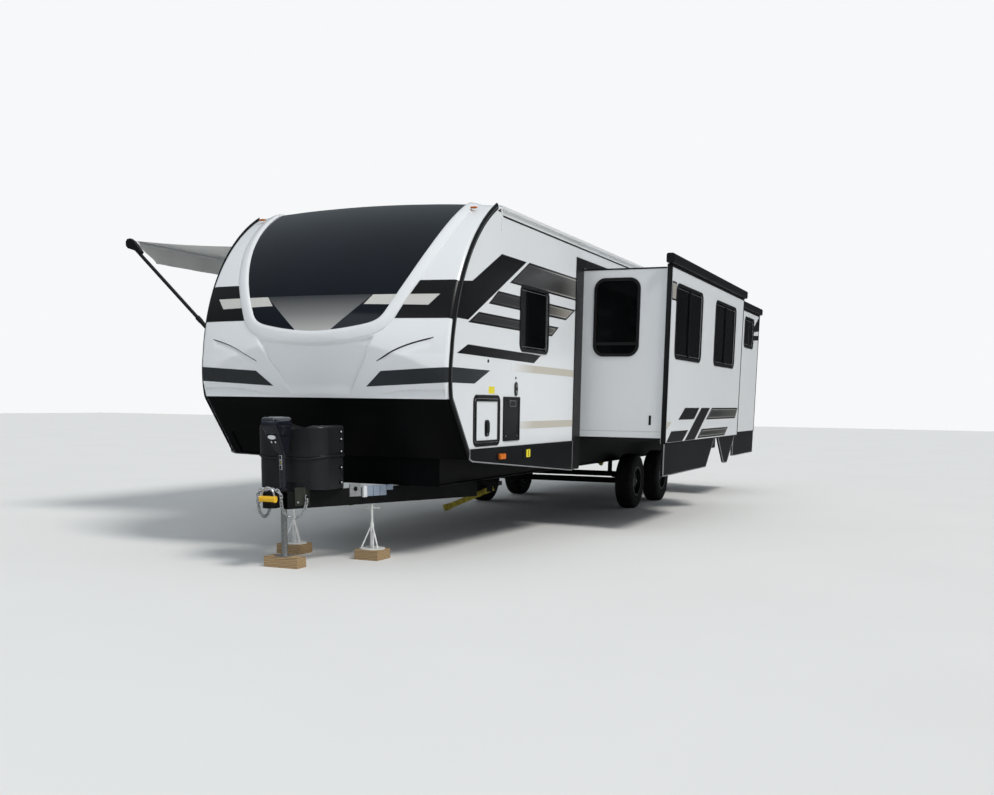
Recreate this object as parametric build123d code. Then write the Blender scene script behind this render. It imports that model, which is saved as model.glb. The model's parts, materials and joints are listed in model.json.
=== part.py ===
from build123d import *
import os
from math import atan2, cos, degrees, radians, sin, sqrt, tan

# Travel caravan: a bumper-pull trailer with two slide-out rooms, parked on its tongue jack.
# X runs across, plus X to the road side. Y runs back from the hitch ball. Heights are
# measured up from the ground, and everything is lowered by BALL_HEIGHT when it is written,
# so that the origin is the centre of the coupler's ball socket.

# Driving dimensions, in millimetres

BALL_HEIGHT = 550
HALF_WIDTH = 1220            # centre line to the outside of a side wall
REAR_Y = 11350               # outside of the rear wall
WALL = 50                    # laminated side, rear and roof panels
FLOOR_TOP = 980
FLOOR_BOTTOM = 880
EAVES = 3040                 # where a side wall meets the roof
HEADER_BOTTOM = 2784         # under side of the beam over doors and slide-outs
CROWN = 44                   # rise of the roof from eaves to centre line
ROOF = 46                    # roof panel thickness

# Moulded nose: side profile of the seam, and how far the middle bulges past it
NOSE_R = 1658                # main arc of the side profile
NOSE_ARC_Y = 2461            # its centre
NOSE_ARC_Z = 1547
CHIN_TOP_Z = 1750            # end of the main arc
CHIN_FRONT = (796, 1572)     # foremost point of the seam
CHIN_BOTTOM_Z = 1385         # end of the chin arc, also the white to black line
CHIN_BOTTOM_Y = 818
BELLY = (1212, 878)          # foot of the raked lower front
NOSE_SIDE_TO_MIDDLE = 175    # middle of the nose is this far ahead of the seam
NOSE_AXIS_Y = 6300           # upright axis that the nose is turned about
FLAT_FRONT = [(918, 3170), (660, 1870), (785, 1385), (1180, 878)]   # (Y, height): no bulge past this
NOSE_CORNER_R = 52
NOSE_WALL = 45
CAP_BACK_Y = 1850            # where the moulding meets the roof panel

# Chassis
RAIL_X = 870                 # centre of each main rail
RAIL_BOTTOM = 630
RAIL_WIDTH = 76
RAIL_WEB = 8
RAIL_FLANGE = 10
RAIL_FRONT_Y = 1260
TONGUE_RAIL = (60, 140)      # box section, width and height
TONGUE_TOP = 628
TONGUE_REAR_Y = 2100
COUPLER_BORE_R = 30
JACK_Y = 190

# Wheels
TYRE_R = 359
TYRE_WIDTH = 225
RIM_R = 190
AXLE_Y = (6780, 8110)
AXLE_Z = 357
WHEEL_X = 1057               # middle of a tyre

# Slide-out rooms, both on the road side
MAIN_DEPTH = 966             # how far the face stands out of the wall
MAIN_Y = (4100, 8160)
REAR_DEPTH = 680
REAR_SLIDE_Y = (9420, 11110)
SLIDE_WALL = 50
SLIDE_FLOOR_BOTTOM = 996
SLIDE_TOP = 2768
SLIDE_INSIDE = 60            # stretch of the box left inside the wall when it is out
FACE_LAP = 26                # how far a face laps past its box
TOPPER_TOP = 2895
SKIRT_FOOT = 612

parts = {}


def block(x, y, z):
    """A box from its ranges along X, Y and Z."""
    centre = Pos((x[0] + x[1]) / 2, (y[0] + y[1]) / 2, (z[0] + z[1]) / 2)
    return centre * Box(x[1] - x[0], y[1] - y[0], z[1] - z[0])


def side_sheet(sketch, x):
    """A sketch drawn in Y and Z, made solid between two values of X."""
    return extrude(Plane.YZ.offset(x[0]) * sketch, x[1] - x[0])


def window(across, up, radius):
    """A rounded rectangle from its ranges across and up."""
    middle = Pos(sum(across) / 2, sum(up) / 2)
    return middle * RectangleRounded(across[1] - across[0], up[1] - up[0], radius)


def outline(*points):
    """A straight-sided face from its corners."""
    return make_face(Polyline(*points, close=True))


def rod(a, b, radius):
    """A round bar between two points."""
    a, b = Vector(*a), Vector(*b)
    return extrude(Plane(a, z_dir=b - a) * Circle(radius), (b - a).length)


def tube(a, b, outer, inner):
    return rod(a, b, outer) - rod(a, b, inner)


def mirrored(shape):
    """The same shape on the curb side."""
    return mirror(shape, Plane.YZ)


def both_sides(shape):
    return Compound([shape, mirrored(shape)])


# Nose, side walls and roof

def nose_profile(shift, grow, rear, top):
    """The side view of the nose, closed by a straight rear and top edge."""
    arc_y = NOSE_ARC_Y - shift
    radius = NOSE_R + grow
    chin_y = arc_y - sqrt(radius ** 2 - (CHIN_TOP_Z - NOSE_ARC_Z) ** 2)
    top_y = arc_y - sqrt(radius ** 2 - (top - NOSE_ARC_Z) ** 2)
    middle_z = (CHIN_TOP_Z + top) / 2
    middle_y = arc_y - sqrt(radius ** 2 - (middle_z - NOSE_ARC_Z) ** 2)
    front = (CHIN_FRONT[0] - shift - grow, CHIN_FRONT[1])
    lower = (CHIN_BOTTOM_Y - shift - grow, CHIN_BOTTOM_Z)
    belly = (BELLY[0] - shift - grow, BELLY[1])
    edges = [
        Line((rear, top), (top_y, top)),
        ThreePointArc((top_y, top), (middle_y, middle_z), (chin_y, CHIN_TOP_Z)),
        ThreePointArc((chin_y, CHIN_TOP_Z), front, lower),
        Line(lower, belly),
        Line(belly, (rear, BELLY[1])),
        Line((rear, BELLY[1]), (rear, top)),
    ]
    return make_face(Wire(edges))


def crown_prism(drop, half_width, y):
    """Everything under the crowned roof line, lowered by drop."""
    z = EAVES - drop
    line = Polyline((half_width, z), (half_width, 0), (-half_width, 0), (-half_width, z))
    crown = ThreePointArc((-half_width, z), (0, z + CROWN), (half_width, z))
    face = make_face(Wire([*line.edges(), crown]))
    return extrude(Plane.XZ.offset(-y[0]) * face, y[0] - y[1])


def flat_front(grow, half_width, corner):
    """Everything behind the flat lower front, its two upright corners rounded."""
    line = [(y - grow, z) for y, z in FLAT_FRONT]
    rear = [(CAP_BACK_Y + 400, z) for z in (BELLY[1], FLAT_FRONT[0][1])]
    solid = side_sheet(outline(*line, *rear), (-half_width, half_width))
    if corner:
        upright = [e for e in solid.edges() if abs(e.center().X) > half_width - 1
                   and e.center().Y < CAP_BACK_Y and abs(e.tangent_at(0.5).Z) > 0.5]
        solid = fillet(upright, corner)
    return solid


def nose_body(grow, half_width, corner, drop):
    """The nose as a solid: its profile turned about an upright axis, then flattened below."""
    face = Plane.YZ * nose_profile(NOSE_SIDE_TO_MIDDLE, grow, CAP_BACK_Y + 400, EAVES + 60)
    turned = revolve(face, Axis((0, NOSE_AXIS_Y, 0), (0, 0, 1)), 40)
    turned = Rot(0, 0, -20) * Pos(0, -NOSE_AXIS_Y, 0) * turned
    turned = Pos(0, NOSE_AXIS_Y, 0) * turned
    body = turned & crown_prism(drop, half_width, (0, CAP_BACK_Y))
    if corner:
        sides = [e for e in body.edges() if abs(abs(e.center().X) - half_width) < 1
                 and e.geom_type != GeomType.LINE and e.center().Y < CAP_BACK_Y - 60]
        sides += [e for e in body.edges() if abs(abs(e.center().X) - half_width) < 1
                  and e.geom_type == GeomType.LINE and abs(e.tangent_at(0.5).Y) < 0.95
                  and abs(e.tangent_at(0.5).Z) < 0.95]
        body = fillet(sides, corner)
    return body & flat_front(grow, half_width, corner)


def seam_wall(y_end, z, inside=3):
    """A side wall panel from the nose seam back to y_end, between two heights."""
    face = nose_profile(0, -inside, y_end, EAVES - ROOF)
    panel = side_sheet(face, (HALF_WIDTH - WALL, HALF_WIDTH))
    return panel & block((0, HALF_WIDTH), (0, y_end), z)


nose_shell = nose_body(0, HALF_WIDTH, NOSE_CORNER_R, 0)
nose_shell -= nose_body(-NOSE_WALL, HALF_WIDTH - NOSE_WALL, 0, NOSE_WALL)
behind_seam = side_sheet(nose_profile(0, 0, REAR_Y, EAVES + 60), (HALF_WIDTH - WALL - 2, HALF_WIDTH + 20))
nose_shell -= behind_seam
nose_shell -= mirrored(behind_seam)
above_line = block((-1300, 1300), (0, 2000), (CHIN_BOTTOM_Z, 3200))
below_line = block((-1300, 1300), (0, 2000), (800, CHIN_BOTTOM_Z))

# Outlines drawn on the nose as seen from the front, each from the middle out to one side
SCREEN_BACK_Y = 1640
SCREEN_HALF = [(0, 1918), (480, 1974), (606, 2018), (668, 2108), (738, 2240),
               (818, 2412), (900, 2640), (944, 2830), (968, 3000), (972, 3100)]
CHIN_HALF = [(0, 1430), (300, 1430), (430, 1540), (540, 1690), (590, 1810), (0, 1800)]
SCOOP = [(430, 1370), (1120, 1370), (1120, 1498), (760, 1498), (520, 1445)]


def front_prism(half, grow=0):
    """An outline on the front of the nose, pushed back through its shell."""
    points = half + [(-x, z) for x, z in reversed(half) if x]
    face = outline(*points)
    if grow:
        face = offset(face, grow, kind=Kind.ARC)
    return extrude(Plane.XZ * face, -SCREEN_BACK_Y)


def nose_layer(low, high):
    """The space between two surfaces that stand off the nose by low and high."""
    return nose_body(high, HALF_WIDTH, 0, -high) - nose_body(low, HALF_WIDTH + 5, 0, -low)


# Gloss panel shaped like a windscreen, the raised surround that holds it, the chin set back
# below it, and a scoop on each side over the black line
SCREEN_PROUD = 5
SURROUND_STEPS = [(86, 8), (58, 21)]     # how far past the panel, and how far off the nose
CHIN_DEPTH = 26
SCOOP_DEPTH = 20
screen_prism = front_prism(SCREEN_HALF)
parts["windshield"] = nose_layer(0.2, SCREEN_PROUD) & screen_prism
cap = nose_shell & above_line
for grow, proud in SURROUND_STEPS:
    cap += nose_layer(-2, proud) & (front_prism(SCREEN_HALF, grow) - screen_prism)
cap -= nose_layer(-CHIN_DEPTH, 1) & front_prism(CHIN_HALF)
scoop = extrude(Plane.XZ * outline(*SCOOP), -SCREEN_BACK_Y)
for shape in (scoop, mirrored(scoop)):
    cap -= nose_layer(-SCOOP_DEPTH, 1) & shape
parts["front_cap"] = cap

# Black lower nose: stepped back under a ledge, closed by a sole, with a bulkhead that hangs
# from the sole in front of the main rails
SOLE = 10
LEDGE_Z = 1070
LEDGE_DEPTH = 14
LEDGE_HALF = 1110
BULKHEAD_Y = (RAIL_FRONT_Y - 10, RAIL_FRONT_Y - 4)
inside_nose = nose_body(5 - NOSE_WALL, HALF_WIDTH - NOSE_WALL, 0, NOSE_WALL)
sole = inside_nose & block((-1160, 1160), (0, BULKHEAD_Y[1] + 2), (BELLY[1], BELLY[1] + SOLE))
bulkhead_half = RAIL_X + RAIL_WIDTH / 2
bulkhead = block((-bulkhead_half, bulkhead_half), BULKHEAD_Y, (TONGUE_TOP + 2, BELLY[1] + 2))
lower = nose_shell & below_line
lower -= nose_layer(-LEDGE_DEPTH, 1) & block((-LEDGE_HALF, LEDGE_HALF), (0, 2000), (BELLY[1] - 5, LEDGE_Z))
parts["front_lower"] = lower + sole + bulkhead

# Openings in the walls: rows are (Y range, height range, corner radius)
ROAD_WINDOW = ((2326, 3050), (1858, 2421), 60)
CURB_WINDOWS = [
    ((2650, 3350), (1858, 2421), 60),
    ((5600, 6900), (1858, 2421), 60),
    ((9500, 10700), (1858, 2421), 60),
]
REAR_WINDOW = ((-450, 450), (1858, 2421), 60)
BAGGAGE = ((1285, 1825), (1012, 1400), 40)
DOORWAY = ((4350, 5070), (985, HEADER_BOTTOM - 6), 50)
BAY_GAP = 14
main_box_y = (MAIN_Y[0] + FACE_LAP, MAIN_Y[1] - FACE_LAP)
rear_box_y = (REAR_SLIDE_Y[0] + FACE_LAP, REAR_SLIDE_Y[1] - FACE_LAP)
main_bay = (main_box_y[0] - BAY_GAP, main_box_y[1] + BAY_GAP)
rear_bay = (rear_box_y[0] - BAY_GAP, rear_box_y[1] + BAY_GAP)
wall_x = (HALF_WIDTH - WALL, HALF_WIDTH)
wall_z = (FLOOR_BOTTOM, EAVES - ROOF)
beam_z = (HEADER_BOTTOM, EAVES - ROOF)
column_z = (FLOOR_BOTTOM, HEADER_BOTTOM)


def cut_windows(wall, rows, x):
    for y, z, radius in rows:
        wall -= side_sheet(window(y, z, radius), x)
    return wall


road_front = seam_wall(main_bay[0], wall_z)
parts["sidewall_road_front"] = cut_windows(road_front, [ROAD_WINDOW, BAGGAGE], (1100, 1300))
parts["sidewall_road_rear"] = Compound([
    block(wall_x, (main_bay[1], rear_bay[0]), column_z),
    block(wall_x, (rear_bay[1], REAR_Y), column_z),
])
header_road = block(wall_x, (main_bay[0], REAR_Y), beam_z)
curb_front = seam_wall(DOORWAY[0][0], wall_z)
curb_front = cut_windows(curb_front, [CURB_WINDOWS[0], BAGGAGE], (1100, 1300))
parts["sidewall_curb_front"] = mirrored(curb_front)
curb_rear = block(wall_x, (DOORWAY[0][1], REAR_Y), column_z)
curb_rear = cut_windows(curb_rear, CURB_WINDOWS[1:], (1100, 1300))
parts["sidewall_curb_rear"] = mirrored(curb_rear)
header_curb = mirrored(block(wall_x, (DOORWAY[0][0], REAR_Y), beam_z))
parts["headers"] = Compound([header_road, header_curb])

roof_y = (CAP_BACK_Y, REAR_Y)
roof_panel = crown_prism(0, HALF_WIDTH, roof_y) - crown_prism(ROOF, HALF_WIDTH + 50, roof_y)
parts["roof"] = roof_panel
inner_x = (-HALF_WIDTH + WALL, HALF_WIDTH - WALL)
rear_wall = block(inner_x, (REAR_Y - WALL, REAR_Y), (FLOOR_BOTTOM, 3200))
rear_wall &= crown_prism(ROOF + 0.5, HALF_WIDTH, (11000, 12000))
rear_wall -= extrude(Plane.XZ.offset(-REAR_Y - 50) * window(*REAR_WINDOW), 200)
parts["rear_wall"] = rear_wall
FLOOR_FRONT_Y = 1262
parts["floor"] = block(inner_x, (FLOOR_FRONT_Y, REAR_Y - WALL), (FLOOR_BOTTOM, FLOOR_TOP))

# Chassis: two rolled I beams, cross members, and box rails that meet at the coupler

def i_beam(x, y, z):
    """A rolled beam along Y, centred on x, between two heights."""
    half, web = RAIL_WIDTH / 2, RAIL_WEB / 2
    low, high = z[0] + RAIL_FLANGE, z[1] - RAIL_FLANGE
    right = [(half, z[0]), (half, low), (web, low), (web, high), (half, high), (half, z[1])]
    left = [(-px, pz) for px, pz in reversed(right)]
    face = Pos(x, 0) * outline(*right, *left)
    return extrude(Plane.XZ.offset(-y[0]) * face, y[0] - y[1])


rail = i_beam(RAIL_X, (RAIL_FRONT_Y, REAR_Y), (RAIL_BOTTOM, FLOOR_BOTTOM))
parts["chassis_rails"] = both_sides(rail)

# Cross members between the rails, with the belly board lying on them
CROSS_Y = (1700, 3100, 4500, 5900, 9300, 10700)
CROSS_Z = (700, 780)
BELLY_BOARD = 4
between_x = RAIL_X - RAIL_WEB / 2 - 1
cross = [block((-between_x, between_x), (y - 25, y + 25), CROSS_Z) for y in CROSS_Y]
board_z = (CROSS_Z[1], CROSS_Z[1] + BELLY_BOARD)
board = block((-between_x, between_x), (RAIL_FRONT_Y, REAR_Y - WALL), board_z)
for member in cross:
    board += member

STABILISER_Y = (2200, 10600)
STABILISER_X = 1000
STABILISER_Z = 555
PIN_R = 8


def stabiliser_beam(y):
    """A flat beam under the rails with an ear plate each side of each leg's pin."""
    beam = block((-1090, 1090), (y - 45, y + 45), (592, RAIL_BOTTOM))
    for side in (-1, 1):
        x = side * STABILISER_X
        for edge in (-1, 1):
            beam += block((x - 28, x + 28), (y + edge * 38 - 6, y + edge * 38 + 6), (530, 600))
        beam += rod((x, y - 44, STABILISER_Z), (x, y + 44, STABILISER_Z), PIN_R)
    return beam


STEP_Y = (4400, 5020)
GUIDE_Y = (STEP_Y[0] - 13, STEP_Y[1] + 13)
step_guides = [block((-1190, -840), (y - 7, y + 7), (570, RAIL_BOTTOM - 0.2)) for y in GUIDE_Y]
parts["cross_members"] = Compound([board] + step_guides + [stabiliser_beam(y) for y in STABILISER_Y])


TONGUE_FRONT = (62, 120)     # middle of a tongue rail's front end, across and along
rail_slope = (RAIL_X - TONGUE_FRONT[0]) / (TONGUE_REAR_Y - TONGUE_FRONT[1])
CHAIN_BOLT_Y = 262
CHAIN_BOLT_Z = 585
CHAIN_BOLT_R = 5


def rail_x(y):
    """Middle of a tongue rail at a station."""
    return TONGUE_FRONT[0] + (y - TONGUE_FRONT[1]) * rail_slope


chain_bolt_x = rail_x(CHAIN_BOLT_Y) + TONGUE_RAIL[0] / 2 + 24


def tongue_rail():
    """A box rail from beside the ball back under a main rail, with the bolt of its chain."""
    front, rear = Vector(*TONGUE_FRONT), Vector(RAIL_X, TONGUE_REAR_Y)
    angle = degrees(atan2(rear.X - front.X, rear.Y - front.Y))
    length = (rear - front).length
    section = Rectangle(*TONGUE_RAIL) - Rectangle(TONGUE_RAIL[0] - 10, TONGUE_RAIL[1] - 10)
    bar = extrude(Plane.XZ * section, -length)
    bar = Pos(front.X, front.Y, TONGUE_TOP - TONGUE_RAIL[1] / 2) * Rot(0, 0, -angle) * bar
    inner = (rail_x(CHAIN_BOLT_Y) + 27, CHAIN_BOLT_Y, CHAIN_BOLT_Z)
    bar += rod(inner, (chain_bolt_x + 10, CHAIN_BOLT_Y, CHAIN_BOLT_Z), CHAIN_BOLT_R)
    return bar + rod((chain_bolt_x + 9, CHAIN_BOLT_Y, CHAIN_BOLT_Z),
                     (chain_bolt_x + 15, CHAIN_BOLT_Y, CHAIN_BOLT_Z), 12)


parts["tongue_rails"] = both_sides(tongue_rail())

# Coupler: cast nose with a round socket, and a plate that carries the jack
coupler = extrude(Plane.XY.offset(505) * Circle(62), 130)
coupler += block((-50, 50), (0, 108), (505, 628))
plate = outline((-50, 20), (50, 20), (62, 100), (150, 330), (-150, 330), (-62, 100))
coupler += extrude(Plane.XY.offset(TONGUE_TOP) * plate, 12)
coupler -= extrude(Plane.XY.offset(500) * Circle(COUPLER_BORE_R), 95)
coupler -= extrude(Plane.XY.offset(600) * (Pos(0, JACK_Y) * Circle(31)), 60)
parts["coupler"] = coupler

# Tongue jack: fixed outer tube with a motor housing, and a leg that slides in it
JACK_TUBE_BOTTOM = 487
JACK_HEAD = (946, 1227)
TIMBER = 89
jack_body = tube((0, JACK_Y, JACK_TUBE_BOTTOM), (0, JACK_Y, JACK_HEAD[0]), 30, 26)
jack_body += extrude(Plane.XY.offset(TONGUE_TOP + 12.2) * (Pos(0, JACK_Y) * (Circle(52) - Circle(29))), 12)
# Motor housing: sections from the neck on the tube up to the brim, then a rounded cap
HEAD_SECTIONS = [
    # height, half width, front and back from the tube, corner radius
    (JACK_HEAD[0], 40, -46, 46, 18),
    (1100, 62, -165, 60, 26),
    (1158, 66, -214, 62, 30),
]
head_faces = []
for height, half, front, back, radius in HEAD_SECTIONS:
    plan = window((-half, half), (JACK_Y + front, JACK_Y + back), radius)
    head_faces.append(Plane.XY.offset(height) * plan)
head = loft(head_faces, ruled=True)
cap = extrude(head_faces[-1], JACK_HEAD[1] - HEAD_SECTIONS[-1][0])
jack_body += head + fillet(cap.faces().sort_by(Axis.Z)[-1].edges(), 28)
parts["jack_tube"] = jack_body
leg = tube((0, JACK_Y, TIMBER + 8), (0, JACK_Y, 560), 25, 20)
leg += block((-60, 60), (JACK_Y - 60, JACK_Y + 60), (TIMBER, TIMBER + 9))
parts["jack_leg"] = leg

# Gas bottle cover on a tray between the tongue rails
# Its hood laps over the base along a bowed line, and its top dips between the two bottles
COVER_Y = (262, 700)
COVER_Z = (640, 1160)
COVER_HALF = 325
COVER_CORNER = 120
COVER_SKIN = 12
HOOD_LAP = 6
HOOD_EDGE = [(-COVER_HALF - 20, 910), (0, 862), (COVER_HALF + 20, 910)]
DIP_HALF, DIP = 225, 36


def cover_form(inset, low, high):
    """The cover's plan, inset by some amount, between two heights."""
    plan = window((inset - COVER_HALF, COVER_HALF - inset), (COVER_Y[0] + inset, COVER_Y[1] - inset),
                  COVER_CORNER - inset)
    return extrude(Plane.XY.offset(low) * plan, high - low)


dip_r = (DIP_HALF ** 2 + DIP ** 2) / (2 * DIP)
dip_z = COVER_Z[1] - DIP + dip_r
cover = cover_form(0, *COVER_Z)
cover = fillet(cover.faces().sort_by(Axis.Z)[-1].edges(), 24)
cover -= rod((0, 0, dip_z), (0, 900, dip_z), dip_r)
hood_arc = ThreePointArc(*HOOD_EDGE)
below = Polyline(HOOD_EDGE[2], (HOOD_EDGE[2][0], 600), (HOOD_EDGE[0][0], 600), HOOD_EDGE[0])
base_zone = extrude(Plane.XZ * make_face(Wire([hood_arc, *below.edges()])), -900)
cover -= (cover_form(-5, 635, 1000) - cover_form(HOOD_LAP, 630, 1010)) & base_zone
cover -= cover_form(COVER_SKIN, 635, COVER_Z[1] - DIP - COVER_SKIN)
parts["bottle_cover"] = cover
parts["bottle_tray"] = block((-290, 290), (COVER_Y[0] + 90, COVER_Y[1] - 50), (629, 638))

# Stands under the tongue rails, and the timbers below stands and jack
STAND_Y = 950
stand_x = rail_x(STAND_Y)


def screw_stand(x):
    """A three-legged stand with a screw and a cross handle."""
    top = TONGUE_TOP - TONGUE_RAIL[1]
    collar = TIMBER + 230
    stand = rod((x, STAND_Y, TIMBER + 8), (x, STAND_Y, collar), 17)
    stand += rod((x, STAND_Y, collar - 1), (x, STAND_Y, top - 6), 11)
    stand += rod((x, STAND_Y, top - 7), (x, STAND_Y, top), 24)
    stand += rod((x - 75, STAND_Y, top - 40), (x + 75, STAND_Y, top - 40), 6)
    for turn in (90, 210, 330):
        foot = (x + 95 * cos(radians(turn)), STAND_Y + 95 * sin(radians(turn)), TIMBER + 8)
        stand += rod(foot, (x, STAND_Y, collar - 8), 7)
    stand += extrude(Plane.XY.offset(TIMBER) * (Pos(x, STAND_Y) * Circle(112)), 9)
    return stand


parts["stands"] = both_sides(screw_stand(stand_x))
timbers = [block((-160, 160), (JACK_Y - 70, JACK_Y + 70), (0, TIMBER))]
for x in (-stand_x, stand_x):
    timbers.append(block((x - 115, x + 115), (STAND_Y - 115, STAND_Y + 115), (0, TIMBER)))
parts["timbers"] = Compound(timbers)

# Safety chain: it hangs in a half circle from each rail's bolt and lies over the coupler. The
# links are flat rings that turn by a quarter from one to the next.
LINK_WIRE = 8
LINK_HOLE = (17, 30)         # inside width and length
LINK_GAP = 2.6               # play between two links
CHAIN_TOP = (50, 652.6)      # half length of the run over the coupler, and its height
CHAIN_BEND = 60              # radius of the bend down beside the coupler
CHAIN_Y = -12
HANG_Z = 560                 # ends of the hanging half circle


def chain_half():
    """Line of the chain from the middle of the coupler to the road-side bolt."""
    top_x, top_z = CHAIN_TOP
    drop_x, bend_z = top_x + CHAIN_BEND, top_z - CHAIN_BEND
    over = CHAIN_BEND * sin(radians(45))
    middle = (top_x + over, CHAIN_Y, bend_z + over)
    near, far = Vector(drop_x, CHAIN_Y, HANG_Z), Vector(chain_bolt_x, CHAIN_BOLT_Y, HANG_Z)
    lowest = (near + far) / 2 - Vector(0, 0, (far - near).length / 2)
    hook_z = CHAIN_BOLT_Z - LINK_HOLE[1] / 2 + CHAIN_BOLT_R + 2
    return Wire([
        Line((0, CHAIN_Y, top_z), (top_x, CHAIN_Y, top_z)),
        ThreePointArc((top_x, CHAIN_Y, top_z), middle, (drop_x, CHAIN_Y, bend_z)),
        Line((drop_x, CHAIN_Y, bend_z), near),
        ThreePointArc(near, lowest, far),
        Line(far, (far.X, far.Y, hook_z)),
    ])


link_hole = SlotOverall(LINK_HOLE[1], LINK_HOLE[0])
link_flat = SlotOverall(LINK_HOLE[1] + 2 * LINK_WIRE, LINK_HOLE[0] + 2 * LINK_WIRE) - link_hole
link = extrude(Plane.XY.offset(-LINK_WIRE / 2) * link_flat, LINK_WIRE)
chain_line = chain_half()
link_count = 2 * round(chain_line.length / (LINK_HOLE[1] - LINK_GAP) / 2)
across = Vector(chain_bolt_x - CHAIN_TOP[0] - CHAIN_BEND, CHAIN_BOLT_Y - CHAIN_Y, 0).normalized()
links = []
for index in range(link_count + 1):
    place, along = chain_line @ (index / link_count), chain_line % (index / link_count)
    hanging = place.Z < HANG_Z or place.Y > 0
    face_way = Vector(across.Y, -across.X, 0) if hanging else along.cross(Vector(0, 1, 0))
    ring = Plane(place, x_dir=along, z_dir=face_way) * Rot(90 * (index % 2), 0, 0) * link
    links.append(ring)
    if index:
        links.append(mirrored(ring))
parts["safety_chains"] = Compound(links)

# Axles, springs and wheels
HUB_X = 930
SPINDLE_R = 22
BACKING_R = 146              # brake backing plate on the axle's end
BACKING_X = (WHEEL_X - 98, WHEEL_X - 92)
axles = []
for y in AXLE_Y:
    beam = rod((-HUB_X, y, AXLE_Z), (HUB_X, y, AXLE_Z), 38)
    beam += rod((-WHEEL_X - 28, y, AXLE_Z), (WHEEL_X + 28, y, AXLE_Z), SPINDLE_R)
    for side in (-1, 1):
        beam += rod((side * BACKING_X[0], y, AXLE_Z), (side * BACKING_X[1], y, AXLE_Z), BACKING_R)
    axles.append(beam)
parts["axles"] = Compound(axles)

SPRING_HALF = 320
SPRING_X = (RAIL_X - 22, RAIL_X + 22)


def leaf_spring(y):
    """A bowed leaf pack over an axle, with a hanger up to the rail at each end."""
    low, high = AXLE_Z + 38 + 2, 492
    outer = ThreePointArc((y - SPRING_HALF, high), (y, low), (y + SPRING_HALF, high))
    inner = ThreePointArc((y + SPRING_HALF, high + 34), (y, low + 34), (y - SPRING_HALF, high + 34))
    ends = [Line(outer @ 1, inner @ 0), Line(inner @ 1, outer @ 0)]
    spring = side_sheet(make_face(Wire([outer, ends[0], inner, ends[1]])), SPRING_X)
    for end in (-1, 1):
        middle = y + end * (SPRING_HALF - 16)
        spring += block(SPRING_X, (middle - 24, middle + 24), (high - 14, RAIL_BOTTOM))
    return spring


springs = [leaf_spring(y) for y in AXLE_Y]
parts["springs"] = Compound([s for spring in springs for s in (spring, mirrored(spring))])


def turned_about_axle(points, y):
    """A profile of (X, radius) points turned about the axle."""
    face = outline(*points)
    solid = revolve(face, Axis.X, 360)
    return Pos(0, y, AXLE_Z) * solid


# Profiles as (X from the middle of the tyre, radius)
HALF_TYRE = TYRE_WIDTH / 2
TYRE_PROFILE = [(-97, RIM_R + 0.5), (-HALF_TYRE, 245), (-HALF_TYRE, 295), (-95, 345), (-58, TYRE_R),
                (58, TYRE_R), (95, 345), (HALF_TYRE, 295), (HALF_TYRE, 245), (97, RIM_R + 0.5)]
RIM_PROFILE = [(-104, RIM_R), (-104, 176), (-60, 168), (30, 168), (34, 60), (20, 60), (20, 22.6),
               (42, 22.6), (42, 48), (62, 48), (62, 66), (50, 168), (104, 178), (104, RIM_R)]
DRUM_PROFILE = [(-86, 128), (-86, 140), (12, 140), (12, 60), (21, 60), (21, 22.6), (-4, 22.6), (-4, 128)]
WHEELS = [("road_front", 1, AXLE_Y[0]), ("road_rear", 1, AXLE_Y[1]),
          ("curb_front", -1, AXLE_Y[0]), ("curb_rear", -1, AXLE_Y[1])]
tyre = turned_about_axle([(WHEEL_X + x, r) for x, r in TYRE_PROFILE], 0)
rim = turned_about_axle([(WHEEL_X + x, r) for x, r in RIM_PROFILE], 0)
SPOKES = 10
GAP_RADII = (84, 154)        # inner and outer ends of the gap between two spokes
SPOKE_HALF = 11
gap_inner, gap_outer = (r * tan(radians(180 / SPOKES)) - SPOKE_HALF for r in GAP_RADII)
gap_face = outline((-gap_inner, GAP_RADII[0]), (gap_inner, GAP_RADII[0]),
                   (gap_outer, GAP_RADII[1]), (-gap_outer, GAP_RADII[1]))
gap = side_sheet(gap_face, (WHEEL_X + 15, WHEEL_X + 75))
for spoke in range(SPOKES):
    rim -= Pos(0, 0, AXLE_Z) * Rot(360 / SPOKES * spoke, 0, 0) * gap
rim += turned_about_axle([(WHEEL_X + x, r) for x, r in DRUM_PROFILE], 0)
for name, side, y in WHEELS:
    for piece, shape in (("tyre", tyre), ("rim", rim)):
        placed = Pos(0, y, 0) * shape
        parts[f"{piece}_{name}"] = placed if side > 0 else mirrored(placed)

# Stabiliser legs, swung part way down
LEG_REST = 23
LEG_WEB = 6
LEG_HALF = (27, 24)          # half width and half height of the channel
FOOT_HALF = (40, 30)
LEG_END, LEG_TOE = 486, 526  # where the foot starts and ends, from the pin
LEGS = [("road_front", 1, STABILISER_Y[0]), ("road_rear", 1, STABILISER_Y[1]),
        ("curb_front", -1, STABILISER_Y[0]), ("curb_rear", -1, STABILISER_Y[1])]
arm = block((-LEG_END - 5, 16), (-LEG_HALF[0], LEG_HALF[0]), (-LEG_HALF[1], LEG_HALF[1]))
arm -= block((-LEG_END, -34), (LEG_WEB - LEG_HALF[0], LEG_HALF[0] - LEG_WEB), (-40, LEG_HALF[1] - LEG_WEB))
arm += block((-LEG_TOE, -LEG_END), (-FOOT_HALF[0], FOOT_HALF[0]), (-FOOT_HALF[1], FOOT_HALF[1]))
arm -= rod((0, -60, 0), (0, 60, 0), PIN_R + 0.6)
for name, side, y in LEGS:
    leg = Pos(STABILISER_X, y, STABILISER_Z) * Rot(0, -LEG_REST, 0) * arm
    parts[f"stabiliser_{name}"] = leg if side > 0 else mirrored(leg)

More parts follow.
